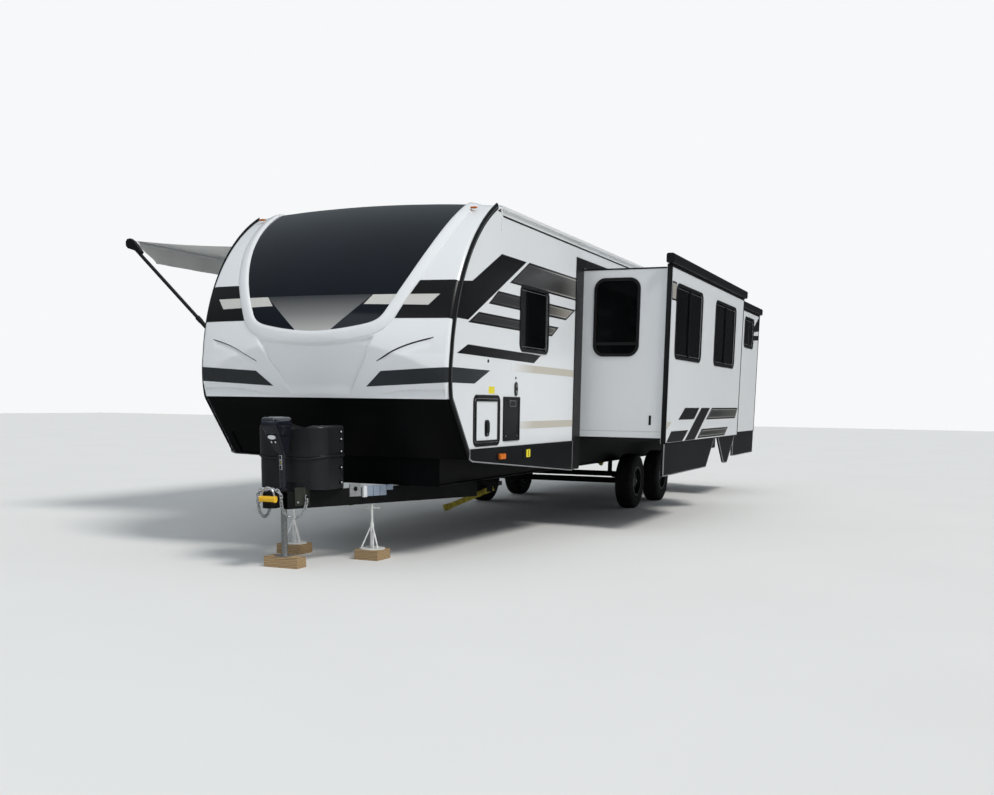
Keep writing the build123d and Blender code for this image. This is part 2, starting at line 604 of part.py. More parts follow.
# Skirts below the body sides, open round the wheels on the curb side
SKIRT = 10
SKIRT_TOP = 968
ARCH_HALF = (555, 95)       # half widths at the foot and at the top


def arch(y):
    return outline((y - ARCH_HALF[0], SKIRT_FOOT), (y - ARCH_HALF[1], SKIRT_TOP + 10),
                   (y + ARCH_HALF[1], SKIRT_TOP + 10), (y + ARCH_HALF[0], SKIRT_FOOT))


skirt_x = (HALF_WIDTH, HALF_WIDTH + SKIRT)
FLANGE_Y0 = 3880
front_line = [(1180, SKIRT_TOP), (1180, 882), (1240, 862), (FLANGE_Y0 - 2, 655)]
road_skirts = [
    side_sheet(outline(*front_line, (FLANGE_Y0 - 2, SKIRT_TOP)), skirt_x),
    block(skirt_x, (MAIN_Y[1] + 8, REAR_SLIDE_Y[0] - 8), (655, SKIRT_TOP)),
    block(skirt_x, (REAR_SLIDE_Y[1] + 8, REAR_Y), (655, SKIRT_TOP)),
]
curb_skirt = side_sheet(outline(*front_line, (REAR_Y, 655), (REAR_Y, SKIRT_TOP)), skirt_x)
for y in AXLE_Y:
    curb_skirt -= side_sheet(arch(y), (HALF_WIDTH - 5, HALF_WIDTH + 20))
parts["skirts"] = Compound(road_skirts + [mirrored(s) for s in curb_skirt.solids()])

# Slide-out rooms: sandwich panels round an open inside, closed by a lapping face

def slide_room(name, y, depth, window_rows, end_window):
    """A room of four panels and a face, standing depth out of the road-side wall."""
    face_x = (HALF_WIDTH + depth - SLIDE_WALL, HALF_WIDTH + depth)
    box_x = (HALF_WIDTH - SLIDE_INSIDE, face_x[0] - 1)
    box_y = (y[0] + FACE_LAP, y[1] - FACE_LAP)
    end_z = (SLIDE_FLOOR_BOTTOM, SLIDE_TOP)
    mid_y = (box_y[0] + SLIDE_WALL + 1, box_y[1] - SLIDE_WALL - 1)
    front_end = block(box_x, (box_y[0], box_y[0] + SLIDE_WALL), end_z)
    if end_window:
        front_end -= extrude(Plane.XZ.offset(-box_y[0] - 80) * window(*end_window), 120)
    panels = [
        front_end,
        block(box_x, (box_y[1] - SLIDE_WALL, box_y[1]), end_z),
        block(box_x, mid_y, (SLIDE_FLOOR_BOTTOM, SLIDE_FLOOR_BOTTOM + SLIDE_WALL)),
        block(box_x, mid_y, (SLIDE_TOP - SLIDE_WALL, SLIDE_TOP)),
    ]
    parts[f"{name}_box"] = Compound(panels)
    face = block(face_x, y, (950, SLIDE_TOP + 28))
    parts[f"{name}_face"] = cut_windows(face, window_rows, (face_x[0] - 5, face_x[1] + 5))
    return face_x


main_windows = [((4365, 5590), (1869, 2606), 70), ((6361, 7613), (1866, 2604), 70)]
end_window = ((1372, 1832), (1884, 2648), 95)
main_face_x = slide_room("main_slide", MAIN_Y, MAIN_DEPTH, main_windows, end_window)
rear_windows = [((9860, 10600), (2260, 2670), 60)]
rear_face_x = slide_room("rear_slide", REAR_SLIDE_Y, REAR_DEPTH, rear_windows, None)

hanging = side_sheet(window(MAIN_Y, (SKIRT_FOOT, 949), 1), (main_face_x[1] - 34, main_face_x[1] - 4))
for y in AXLE_Y:
    hanging -= side_sheet(arch(y), (main_face_x[0] - 5, main_face_x[1] + 5))
parts["main_slide_skirt"] = Compound(hanging.solids())
skirt_hang_x = (rear_face_x[1] - 34, rear_face_x[1] - 4)
parts["rear_slide_skirt"] = block(skirt_hang_x, REAR_SLIDE_Y, (SKIRT_FOOT, 949))


# Frames and glass. A frame laps past its opening on the outside and covers the glass edge.
FRAME_LAP = 24
FRAME_COVER = 8
FRAME_PROUD = 8
GLASS = 6
GLASS_BACK = 14              # how far the glass sits behind the wall's outside
SASH_BAR = 30
MIN_CORNER = 4


def grown(row, by):
    """A window row with its ranges and corner grown all round."""
    across, up, radius = row
    return (across[0] - by, across[1] + by), (up[0] - by, up[1] + by), max(radius + by, MIN_CORNER)


def frame_ring(row, posts=(), rails=()):
    """The flat shape of a frame, with upright and level bars at the given places."""
    ring = window(*grown(row, FRAME_LAP)) - window(*grown(row, -FRAME_COVER))
    across, up, radius = row
    for place in posts:
        ring += Pos(place, sum(up) / 2) * Rectangle(SASH_BAR, up[1] - up[0])
    for place in rails:
        ring += Pos(sum(across) / 2, place) * Rectangle(across[1] - across[0], SASH_BAR)
    return ring


def side_frame(row, x, posts=(), rails=()):
    return side_sheet(frame_ring(row, posts, rails), (x + 0.1, x + FRAME_PROUD))


def side_glass(row, x):
    return side_sheet(window(*grown(row, -2)), (x - GLASS_BACK, x - GLASS_BACK + GLASS))


def end_frame(row, y, way, rails=()):
    """Frame and glass of a window in a wall that faces along Y."""
    ring = Plane.XZ.offset(-y - way * 0.1) * frame_ring(row, (), rails)
    pane = Plane.XZ.offset(-y + way * GLASS_BACK) * window(*grown(row, -2))
    return extrude(ring, -way * (FRAME_PROUD - 0.1)), extrude(pane, -way * GLASS)


rear_frame, rear_glass = end_frame(REAR_WINDOW, REAR_Y, 1)
body_frames = [side_frame(ROAD_WINDOW, HALF_WIDTH)]
body_frames += [mirrored(side_frame(row, HALF_WIDTH)) for row in CURB_WINDOWS]
body_glass = [side_glass(ROAD_WINDOW, HALF_WIDTH)]
body_glass += [mirrored(side_glass(row, HALF_WIDTH)) for row in CURB_WINDOWS]
parts["window_glass"] = Compound(body_glass + [rear_glass])
slide_frame, slide_glass = end_frame(end_window, main_box_y[0], -1, [end_window[1][0] + 110])
main_panes = [side_glass(row, main_face_x[1]) for row in main_windows]
parts["main_slide_glass"] = Compound(main_panes + [slide_glass])
main_frames = [side_frame(row, main_face_x[1], [sum(row[0]) / 2]) for row in main_windows]
main_frames.append(slide_frame)
parts["rear_slide_glass"] = side_glass(rear_windows[0], rear_face_x[1])

# Roll-over covers on the outer top edge of each room
def topper(y, face_x):
    """A cover roll in its case, clear of the wall when the room is drawn in."""
    case_x = (face_x[1] - 48, face_x[1] + 34)
    case = block(case_x, (y[0] - 60, y[1] + 60), (SLIDE_TOP + 29, TOPPER_TOP))
    return fillet(case.edges().filter_by(Axis.Y), 20)


parts["main_slide_trim"] = Compound(main_frames + [topper(MAIN_Y, main_face_x)])
rear_slide_frame = side_frame(rear_windows[0], rear_face_x[1])
parts["rear_slide_trim"] = Compound([rear_slide_frame, topper(REAR_SLIDE_Y, rear_face_x)])

# Black flanges round the slide-out bays, and frames of the baggage doors
flange_x = (HALF_WIDTH + 0.1, HALF_WIDTH + SKIRT)
FLANGE_TOP = 2866


def bay_flanges(y, front, rear):
    return [
        block(flange_x, (front, y[0]), (660, FLANGE_TOP)),
        block(flange_x, (y[0] + 1, y[1] - 1), (HEADER_BOTTOM, FLANGE_TOP)),
        block(flange_x, (y[1], rear), (SKIRT_TOP + 2, FLANGE_TOP)),
    ]


flanges = bay_flanges(main_bay, FLANGE_Y0, main_bay[1] + 60)
flanges += bay_flanges(rear_bay, rear_bay[0] - 60, rear_bay[1] + 60)
flanges[3] = block(flange_x, (rear_bay[0] - 60, rear_bay[0]), (SKIRT_TOP + 2, FLANGE_TOP))


def opening_frame(row, lap):
    y, z, radius = row
    ring = window((y[0] - lap, y[1] + lap), (z[0] - lap, z[1] + lap), radius + lap) - window(y, z, radius)
    return side_sheet(ring, (HALF_WIDTH + 0.1, HALF_WIDTH + 5))


ACCESS_PANEL = ((1930, 2320), (1025, 1410), 14)
ACCESS_PROUD = 9
baggage_frame = opening_frame(BAGGAGE, 28)
door_frame = opening_frame(DOORWAY, 16)
access_panel = side_sheet(window(*ACCESS_PANEL), (HALF_WIDTH + 0.1, HALF_WIDTH + ACCESS_PROUD))
access_panel -= side_sheet(window(*grown(ACCESS_PANEL, -26)), (HALF_WIDTH + 6, HALF_WIDTH + 20))
parts["wall_trims"] = Compound(body_frames + [rear_frame] + flanges + [
    baggage_frame, mirrored(baggage_frame), mirrored(door_frame), access_panel])

# Doors: baggage doors hinge at the top, the entry door at its front edge
DOOR_GAP = 6


def door_leaf(row, x):
    y, z, radius = row
    leaf = window((y[0] + DOOR_GAP, y[1] - DOOR_GAP), (z[0] + DOOR_GAP, z[1] - DOOR_GAP), radius - DOOR_GAP)
    return side_sheet(leaf, x)


HINGE_X = HALF_WIDTH + 12
HINGE_R = 6
PLATE_X = (HALF_WIDTH + 1, HALF_WIDTH + 9)
door_x = (HALF_WIDTH - 38, HALF_WIDTH + 2)
hinge_z = BAGGAGE[1][1] + 4
hinge_y = (BAGGAGE[0][0] + 50, BAGGAGE[0][1] - 50)
baggage_leaf = door_leaf(BAGGAGE, door_x)
baggage_leaf += rod((HINGE_X, hinge_y[0], hinge_z), (HINGE_X, hinge_y[1], hinge_z), HINGE_R)
baggage_leaf += block(PLATE_X, hinge_y, (hinge_z - 30, hinge_z - 11))
baggage_leaf += block((PLATE_X[1] - 3, PLATE_X[1]), hinge_y, (hinge_z - 30, hinge_z))
parts["baggage_door_road"] = baggage_leaf
parts["baggage_door_curb"] = mirrored(baggage_leaf)
DOOR_WINDOW = ((4500, 4920), (1900, 2600), 50)
entry = door_leaf(DOORWAY, door_x)
entry -= side_sheet(window(*DOOR_WINDOW), (1100, 1300))
entry_hinge_y = DOORWAY[0][0] - 3
entry_hinge_z = (DOORWAY[1][0] + 60, DOORWAY[1][1] - 60)
entry_pin = [(HINGE_X, entry_hinge_y, z) for z in entry_hinge_z]
entry += rod(*entry_pin, HINGE_R)
entry += block(PLATE_X, (entry_hinge_y + 11, entry_hinge_y + 30), entry_hinge_z)
entry += block((PLATE_X[1] - 3, PLATE_X[1]), (entry_hinge_y, entry_hinge_y + 30), entry_hinge_z)
parts["entry_door"] = mirrored(entry)
parts["entry_door_glass"] = mirrored(side_glass(DOOR_WINDOW, HALF_WIDTH))

# Awning on the curb side, rolled out
AWNING_Y = (2450, 8450)
ROLLER = (-3392, 3000)
ROLLER_R = 38
ARM_FOOT = (-1262, 1025)
fabric_y = (AWNING_Y[0] + 90, AWNING_Y[1] - 90)
awning = []
for y in AWNING_Y:
    channel = block((-HALF_WIDTH - 36, -HALF_WIDTH - 0.2), (y - 30, y + 30), (SKIRT_TOP + 8, 2960))
    arm = rod((ARM_FOOT[0], y, ARM_FOOT[1]), (ROLLER[0], y, ROLLER[1]), 18)
    arm -= channel
    cap = rod((ROLLER[0], y - 26, ROLLER[1]), (ROLLER[0], y + 26, ROLLER[1]), 46)
    awning += [channel, arm + cap]
roller = rod((ROLLER[0], AWNING_Y[0] + 27, ROLLER[1]), (ROLLER[0], AWNING_Y[1] - 27, ROLLER[1]), ROLLER_R)
parts["awning_arms"] = Compound(awning)
parts["awning_roller"] = roller
FABRIC = 4
wall_edge, roller_edge = (-HALF_WIDTH - 2, 2906), (ROLLER[0], ROLLER[1] + ROLLER_R + 1)
sheet = outline(wall_edge, roller_edge, (roller_edge[0], roller_edge[1] + FABRIC),
                (wall_edge[0], wall_edge[1] + FABRIC))
parts["awning_fabric"] = extrude(Plane.XZ.offset(-fabric_y[0]) * sheet, fabric_y[0] - fabric_y[1])

# Roof equipment
AC_Y = (5300, 6300)
AC_SECTIONS = [
    # height, half width, inset at the front and at the back, corner radius
    (3070, 350, 0, 0, 80),
    (3180, 345, 20, 6, 80),
    (3330, 310, 210, 60, 90),
]
shroud_faces = []
for height, half, front, back, radius in AC_SECTIONS:
    plan = window((-half, half), (AC_Y[0] + front, AC_Y[1] - back), radius)
    shroud_faces.append(Plane.XY.offset(height) * plan)
cooler = loft(shroud_faces, ruled=True)
lid = extrude(shroud_faces[-1], 70)
cooler += fillet(lid.faces().sort_by(Axis.Z)[-1].edges(), 45)
cooler -= crown_prism(-0.5, HALF_WIDTH, (5000, 6600))
roof_units = [cooler]
for x, y in [(200, 2700), (-250, 7600), (-250, 9800)]:
    lid = fillet(block((x - 210, x + 210), (y - 210, y + 210), (3060, 3170)).edges().filter_by(Axis.Z), 40)
    roof_units.append(lid - crown_prism(-0.5, HALF_WIDTH, (y - 400, y + 400)))
parts["roof_units"] = Compound(roof_units)

# Rear bumper, lamps and entry step
bumper = block((-1100, 1100), (11390, 11490), (640, 740))
bumper -= block((-1110, 1110), (11396, 11484), (646, 734))
for side in (-1, 1):
    bumper += block((side * RAIL_X - 30, side * RAIL_X + 30), (REAR_Y, 11391), (645, 735))
parts["bumper"] = bumper
lamp = fillet(block((1020, 1100), (REAR_Y, REAR_Y + 26), (1180, 1420)).edges().filter_by(Axis.Y), 20)
parts["tail_lamps"] = both_sides(lamp)
tread = block((-1560, -1330), STEP_Y, (590, 612))
for y in STEP_Y:
    edge = y + 4 if y == STEP_Y[0] else y - 4
    tread += block((-1560, -1000), (edge - 4, edge + 4), (568, 620))
parts["entry_step"] = tread

os.makedirs("parts", exist_ok=True)
for name, shape in parts.items():
    export_step(Pos(0, 0, -BALL_HEIGHT) * shape, f"parts/{name}.step")
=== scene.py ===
# %% [markdown]
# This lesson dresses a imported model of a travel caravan: a long white trailer with a moulded
# nose, two rooms that slide out of its road side and an awning on its curb side. The frame is
# loaded first and never moved. Every new piece is then made in the same place and scale, in
# metres, and rides on the body that carries it.

# %% Load the frame
import json
from math import asin, cos, hypot, pi, radians, sin, sqrt

import bmesh
import bpy
import numpy as np
from mathutils import Matrix, Vector


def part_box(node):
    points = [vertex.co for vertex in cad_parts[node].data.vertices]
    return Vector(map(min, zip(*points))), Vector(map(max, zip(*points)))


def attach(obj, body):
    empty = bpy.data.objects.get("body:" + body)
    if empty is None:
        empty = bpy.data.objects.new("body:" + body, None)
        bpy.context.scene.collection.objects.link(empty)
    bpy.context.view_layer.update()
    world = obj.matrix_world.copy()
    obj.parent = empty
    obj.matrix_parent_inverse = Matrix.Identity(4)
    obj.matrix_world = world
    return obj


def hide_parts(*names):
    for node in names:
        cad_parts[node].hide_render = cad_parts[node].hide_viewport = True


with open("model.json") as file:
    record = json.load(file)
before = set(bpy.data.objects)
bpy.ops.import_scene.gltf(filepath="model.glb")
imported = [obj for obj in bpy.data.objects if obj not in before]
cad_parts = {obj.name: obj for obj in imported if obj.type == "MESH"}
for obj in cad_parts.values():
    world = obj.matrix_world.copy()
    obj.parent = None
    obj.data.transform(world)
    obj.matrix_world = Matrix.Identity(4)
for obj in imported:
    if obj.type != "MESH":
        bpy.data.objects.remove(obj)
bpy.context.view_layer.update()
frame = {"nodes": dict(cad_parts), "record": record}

# %% [markdown]
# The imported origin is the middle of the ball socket. Stations run back from it along Y, and
# heights are easier to read when they start at the ground, so one helper lowers them. The road
# side is plus X and the curb side is minus X.

# %% Places and measures shared by many pieces
BALL_HEIGHT = 0.55
HALF_WIDTH = 1.220
EAVES_H = 3.040
CROWN = 0.044
CAP_BACK_Y = 1.850
REAR_Y = 11.350
ROAD, CURB = 1, -1


def at(x, station, height):
    """A point from its distance across, its station and its height above the ground."""
    return Vector((x, station, height - BALL_HEIGHT))


def mix(a, b, share):
    return a + (b - a) * share


def smooth_step(share):
    share = min(max(share, 0.0), 1.0)
    return share * share * (3 - 2 * share)


def fade_ends(along, width):
    """Rises from 0 to 1 within a width of each end of a line."""
    return smooth_step(along / width) * smooth_step((1 - along) / width)


def shade(colour, factor):
    return tuple(min(channel * factor, 1.0) for channel in colour)


def roof_h(x):
    """Height of the crowned roof at a distance across."""
    return EAVES_H + CROWN * (1 - (x / HALF_WIDTH) ** 2)


print("body from", CAP_BACK_Y, "to", REAR_Y)

# %% [markdown]
# The camera stands at the photograph's viewing angle. Its place and turn come from the corners
# of the body and of the large slide-out room. The picture was cropped, so the lens axis isn't
# in its middle, and the shift values say where it is.

# %% Camera
PICTURE = (994, 795)
CAMERA_AT = Vector((5.096, -7.462, 0.827))
YAW, PITCH, ROLL = radians(22.778), radians(10.693), radians(0.791)
FOCAL_PX = 1098.42
AXIS_PX = (493.5, 608.4)
SENSOR_MM = 36.0


def make_camera():
    forward = Vector((-sin(YAW) * cos(PITCH), cos(YAW) * cos(PITCH), -sin(PITCH)))
    level = Vector((cos(YAW), sin(YAW), 0))
    upright = level.cross(forward)
    right = level * cos(ROLL) + upright * sin(ROLL)
    up = upright * cos(ROLL) - level * sin(ROLL)
    data = bpy.data.cameras.new("camera")
    data.sensor_width = SENSOR_MM
    data.lens = FOCAL_PX / PICTURE[0] * SENSOR_MM
    data.shift_x = (PICTURE[0] / 2 - AXIS_PX[0]) / PICTURE[0]
    data.shift_y = (AXIS_PX[1] - PICTURE[1] / 2) / PICTURE[0]
    data.clip_end = 200
    camera = bpy.data.objects.new("camera", data)
    turn = Matrix((right, up, -forward)).transposed()
    camera.matrix_world = Matrix.Translation(CAMERA_AT) @ turn.to_4x4()
    bpy.context.scene.collection.objects.link(camera)
    bpy.context.scene.camera = camera
    return camera


camera = make_camera()
print("lens", round(camera.data.lens, 2), "mm")

# %% [markdown]
# Studio light stands in for the open sky: a pale world gives the fill, a broad sun gives the
# key from the road side, and a large soft panel lights the nose. Gloss parts see another world:
# dark near the horizon, as if trees stood round the studio, and pale overhead. The levels are
# kept so that a colour renders about as it is written.

# %% Light
WORLD_LIGHT = 0.52
BACKGROUND = (0.93, 0.94, 0.95, 1)
SKY_FILL = (0.89, 0.95, 1.0, 1)
MIRROR_LEVELS = [(0.46, 0.08), (0.56, 0.05), (0.74, 0.26), (1.0, 0.58)]
MIRROR_TINT = (0.82, 0.93, 1.0)
KEY_LEVEL, KEY_SPREAD = 1.84, radians(16)
PANEL_LEVEL, PANEL_SIZE = 62, (7, 3)


def mirror_world(tree):
    """A background whose level rises from the horizon to the top."""
    place = tree.nodes.new("ShaderNodeTexCoord")
    apart = tree.nodes.new("ShaderNodeSeparateXYZ")
    height = tree.nodes.new("ShaderNodeMapRange")
    height.inputs["From Min"].default_value = -1.0
    levels = tree.nodes.new("ShaderNodeValToRGB")
    elements = levels.color_ramp.elements
    elements.new(0.5)
    elements.new(0.6)
    for element, (position, level) in zip(elements, MIRROR_LEVELS):
        element.position = position
        element.color = (*shade(MIRROR_TINT, level), 1)
    mirrored = tree.nodes.new("ShaderNodeBackground")
    tree.links.new(place.outputs["Generated"], apart.inputs[0])
    tree.links.new(apart.outputs["Z"], height.inputs["Value"])
    tree.links.new(height.outputs["Result"], levels.inputs["Fac"])
    tree.links.new(levels.outputs["Color"], mirrored.inputs["Color"])
    return mirrored


def make_world():
    world = bpy.data.worlds.new("studio")
    bpy.context.scene.world = world
    world.use_nodes = True
    tree = world.node_tree
    tree.nodes.clear()
    rays = tree.nodes.new("ShaderNodeLightPath")
    fill = tree.nodes.new("ShaderNodeBackground")
    fill.inputs["Color"].default_value = SKY_FILL
    fill.inputs["Strength"].default_value = WORLD_LIGHT
    shown = tree.nodes.new("ShaderNodeBackground")
    shown.inputs["Color"].default_value = BACKGROUND
    in_gloss = tree.nodes.new("ShaderNodeMixShader")
    to_camera = tree.nodes.new("ShaderNodeMixShader")
    output = tree.nodes.new("ShaderNodeOutputWorld")
    tree.links.new(rays.outputs["Is Glossy Ray"], in_gloss.inputs["Fac"])
    tree.links.new(fill.outputs[0], in_gloss.inputs[1])
    tree.links.new(mirror_world(tree).outputs[0], in_gloss.inputs[2])
    tree.links.new(rays.outputs["Is Camera Ray"], to_camera.inputs["Fac"])
    tree.links.new(in_gloss.outputs[0], to_camera.inputs[1])
    tree.links.new(shown.outputs[0], to_camera.inputs[2])
    tree.links.new(to_camera.outputs[0], output.inputs["Surface"])


def aim(lamp, place, target):
    lamp.location = place
    lamp.rotation_euler = (Vector(target) - Vector(place)).to_track_quat("-Z", "Y").to_euler()


def make_lamp(name, kind, energy, place, target):
    data = bpy.data.lights.new(name, kind)
    data.energy = energy
    lamp = bpy.data.objects.new(name, data)
    bpy.context.scene.collection.objects.link(lamp)
    aim(lamp, place, target)
    return data


make_world()
key = make_lamp("key", "SUN", KEY_LEVEL, (9, 2.5, 11), (0, 5, 0))
key.angle = KEY_SPREAD
key.color = (1.0, 0.98, 0.94)
panel = make_lamp("panel", "AREA", PANEL_LEVEL, (-2.5, -9, 7.5), (0, 2, 1.6))
panel.shape = "RECTANGLE"
panel.size, panel.size_y = PANEL_SIZE
panel.color = (0.84, 0.92, 1.0)
bpy.context.scene.view_settings.view_transform = "Standard"
print("lamps", len(bpy.data.lights))

# %% [markdown]
# The floor is one pale sheet at the height of the ground. It is a stage and not a piece of the
# caravan.

# %% Floor
FLOOR_SIZE = 60.0


def make_floor():
    bm = bmesh.new()
    bmesh.ops.create_grid(bm, x_segments=1, y_segments=1, size=FLOOR_SIZE)
    bmesh.ops.translate(bm, verts=bm.verts, vec=at(0, 5, 0))
    mesh = bpy.data.meshes.new("floor_stage")
    bm.to_mesh(mesh)
    bm.free()
    mesh.materials.append(finishes["floor_pale"])
    floor = bpy.data.objects.new("floor_stage", mesh)
    bpy.context.scene.collection.objects.link(floor)


print("floor ready to lay once it has a finish")

# %% [markdown]
# A finish is a small set of shader nodes. Nearly all of them start the same way: the object's
# own coordinates feed a soft noise, which varies the colour a little, and a finer noise feeds
# the bump. These helpers keep that wiring in one place, and each real finish then only says
# its colours, its gloss and the size of its grain.

# %% Helpers for finishes
finishes = {}


def new_finish(name, roughness, metallic=0.0):
    """Starts a finish and keeps it under its name; returns its node tree and main shader."""
    material = finishes[name] = bpy.data.materials.new(name)
    material.use_nodes = True
    tree = material.node_tree
    shader = tree.nodes["Principled BSDF"]
    shader.inputs["Roughness"].default_value = roughness
    shader.inputs["Metallic"].default_value = metallic
    return tree, shader


def object_place(tree, scale=(1, 1, 1), turn=(0, 0, 0)):
    """Object coordinates, stretched and turned."""
    coordinates = tree.nodes.new("ShaderNodeTexCoord")
    mapping = tree.nodes.new("ShaderNodeMapping")
    mapping.inputs["Scale"].default_value = scale
    mapping.inputs["Rotation"].default_value = turn
    tree.links.new(coordinates.outputs["Object"], mapping.inputs["Vector"])
    return mapping.outputs["Vector"]


def noise(tree, place, scale, detail=3.0, roughness=0.5):
    texture = tree.nodes.new("ShaderNodeTexNoise")
    texture.inputs["Scale"].default_value = scale
    texture.inputs["Detail"].default_value = detail
    texture.inputs["Roughness"].default_value = roughness
    tree.links.new(place, texture.inputs["Vector"])
    return texture.outputs["Fac"]


def ramp(tree, value, stops):
    """Colours by position: stops are (position, (red, green, blue))."""
    node = tree.nodes.new("ShaderNodeValToRGB")
    elements = node.color_ramp.elements
    for position, colour in stops[2:]:
        elements.new(position)
    for element, (position, colour) in zip(elements, stops):
        element.position = position
        element.color = (*colour, 1)
    tree.links.new(value, node.inputs["Fac"])
    return node.outputs["Color"]


def tint(tree, shader, value, stops):
    """Colours a surface by a value that changes over it."""
    tree.links.new(ramp(tree, value, stops), shader.inputs["Base Color"])


def bump(tree, shader, height, strength, distance=0.002):
    node = tree.nodes.new("ShaderNodeBump")
    node.inputs["Strength"].default_value = strength
    node.inputs["Distance"].default_value = distance
    tree.links.new(height, node.inputs["Height"])
    tree.links.new(node.outputs["Normal"], shader.inputs["Normal"])


def plain_finish(name, colour, roughness, metallic=0.0, blotch=2.0, spread=0.06, grain=180.0,
                 grain_strength=0.08, stretch=(1, 1, 1), specular=0.5, coat=None):
    """A surface with soft clouds of tone, a fine grain and, where coat says its weight and
    roughness, a clear coat."""
    tree, shader = new_finish(name, roughness, metallic)
    shader.inputs["Specular IOR Level"].default_value = specular
    place = object_place(tree, stretch)
    clouds = noise(tree, place, blotch, 4.0)
    tint(tree, shader, clouds, [(0.3, shade(colour, 1 - spread)), (0.7, shade(colour, 1 + spread))])
    bump(tree, shader, noise(tree, place, grain, 2.0), grain_strength)
    if coat:
        shader.inputs["Coat Weight"].default_value, shader.inputs["Coat Roughness"].default_value = coat


print("finish helpers ready")

# %% [markdown]
# The body is laminated panel with a hard gelcoat skin: white, faintly wavy over a metre, and
# glossy enough to hold a soft reflection. The moulded nose has the same white with more gloss.
# A clear coat over a slightly rougher base gives that look better than one low roughness.

# %% Painted and moulded finishes
WHITE = (0.80, 0.82, 0.84)
plain_finish("white_panel", WHITE, 0.38, blotch=0.8, spread=0.012, grain=3.0, grain_strength=0.03,
             coat=(0.35, 0.12))
plain_finish("white_moulding", (0.82, 0.84, 0.86), 0.32, blotch=1.2, spread=0.012, grain=2.0,
             grain_strength=0.02, coat=(0.5, 0.06))
plain_finish("black_gloss", (0.003, 0.005, 0.010), 0.10, blotch=1.5, spread=0.2, grain=2.0,
             grain_strength=0.02, specular=0.32)
plain_finish("black_moulding", (0.0025, 0.0028, 0.0032), 0.34, blotch=2.5, spread=0.3, grain=14.0,
             grain_strength=0.03, specular=0.12)
plain_finish("grey_skirt", (0.008, 0.0095, 0.0105), 0.38, blotch=2.0, spread=0.2, grain=6.0,
             grain_strength=0.04, specular=0.14)
plain_finish("black_trim", (0.008, 0.008, 0.009), 0.42, blotch=6.0, spread=0.2, grain=260.0,
             grain_strength=0.10, specular=0.3)
plain_finish("white_metal", (0.78, 0.79, 0.80), 0.36, blotch=3.0, spread=0.03, grain=60.0,
             grain_strength=0.04)
plain_finish("white_steel", (0.72, 0.73, 0.72), 0.45, blotch=18.0, spread=0.10, grain=90.0,
             grain_strength=0.15)
plain_finish("frame_black", (0.006, 0.006, 0.0065), 0.46, blotch=7.0, spread=0.35, grain=120.0,
             grain_strength=0.18, specular=0.3)
plain_finish("cover_plastic", (0.018, 0.0195, 0.022), 0.33, blotch=4.0, spread=0.2, grain=420.0,
             grain_strength=0.22, specular=0.4)
plain_finish("roof_membrane", (0.66, 0.67, 0.66), 0.75, blotch=1.5, spread=0.06, grain=90.0,
             grain_strength=0.15)
plain_finish("floor_deck", (0.26, 0.22, 0.18), 0.55, blotch=2.0, spread=0.12, grain=50.0,
             grain_strength=0.10, stretch=(8, 1, 1))
print("painted finishes", len(finishes))

# %% [markdown]
# Bare metals come next. Bright zinc shows the spangle of its crystals, which a cell texture
# gives, and yellow passivated zinc drifts between gold and green. Cast wheels are duller and
# finer in their grain.

# %% Metal finishes
def zinc_finish(name, dark, light, roughness, cell):
    tree, shader = new_finish(name, roughness, 0.9)
    place = object_place(tree)
    cells = tree.nodes.new("ShaderNodeTexVoronoi")
    cells.inputs["Scale"].default_value = cell
    tree.links.new(place, cells.inputs["Vector"])
    apart = tree.nodes.new("ShaderNodeSeparateColor")
    tree.links.new(cells.outputs["Color"], apart.inputs["Color"])
    tint(tree, shader, apart.outputs[0], [(0.0, dark), (1.0, light)])
    bump(tree, shader, noise(tree, place, cell * 3, 2.0), 0.12)


zinc_finish("bright_zinc", (0.46, 0.47, 0.48), (0.66, 0.67, 0.68), 0.34, 120.0)
zinc_finish("yellow_zinc", (0.52, 0.42, 0.07), (0.74, 0.64, 0.12), 0.38, 40.0)
plain_finish("wheel_alloy", (0.30, 0.31, 0.32), 0.30, 0.85, blotch=12.0, spread=0.08, grain=300.0,
             grain_strength=0.06)
print("metal finishes", len(finishes))

# %% [markdown]
# Tyre rubber is dark and dusty, with a fine moulded grain. The timbers are sawn softwood: a
# wave texture stretched along X makes the growth rings, and a second noise breaks them up.

# %% Rubber, timber, cloth and lamps
plain_finish("tyre_rubber", (0.012, 0.012, 0.0125), 0.74, blotch=9.0, spread=0.35, grain=500.0,
             grain_strength=0.25, specular=0.35)


def timber_finish():
    tree, shader = new_finish("timber_wood", 0.72)
    place = object_place(tree, (2.5, 14, 30))
    wave = tree.nodes.new("ShaderNodeTexWave")
    wave.inputs["Scale"].default_value = 0.9
    wave.inputs["Distortion"].default_value = 5.0
    wave.inputs["Detail"].default_value = 3.0
    wave.inputs["Detail Scale"].default_value = 1.4
    wave.bands_direction = "Z"
    tree.links.new(place, wave.inputs["Vector"])
    tint(tree, shader, wave.outputs["Fac"], [
        (0.0, (0.20, 0.12, 0.055)), (0.55, (0.40, 0.27, 0.14)), (1.0, (0.50, 0.36, 0.20))])
    bump(tree, shader, wave.outputs["Fac"], 0.35)


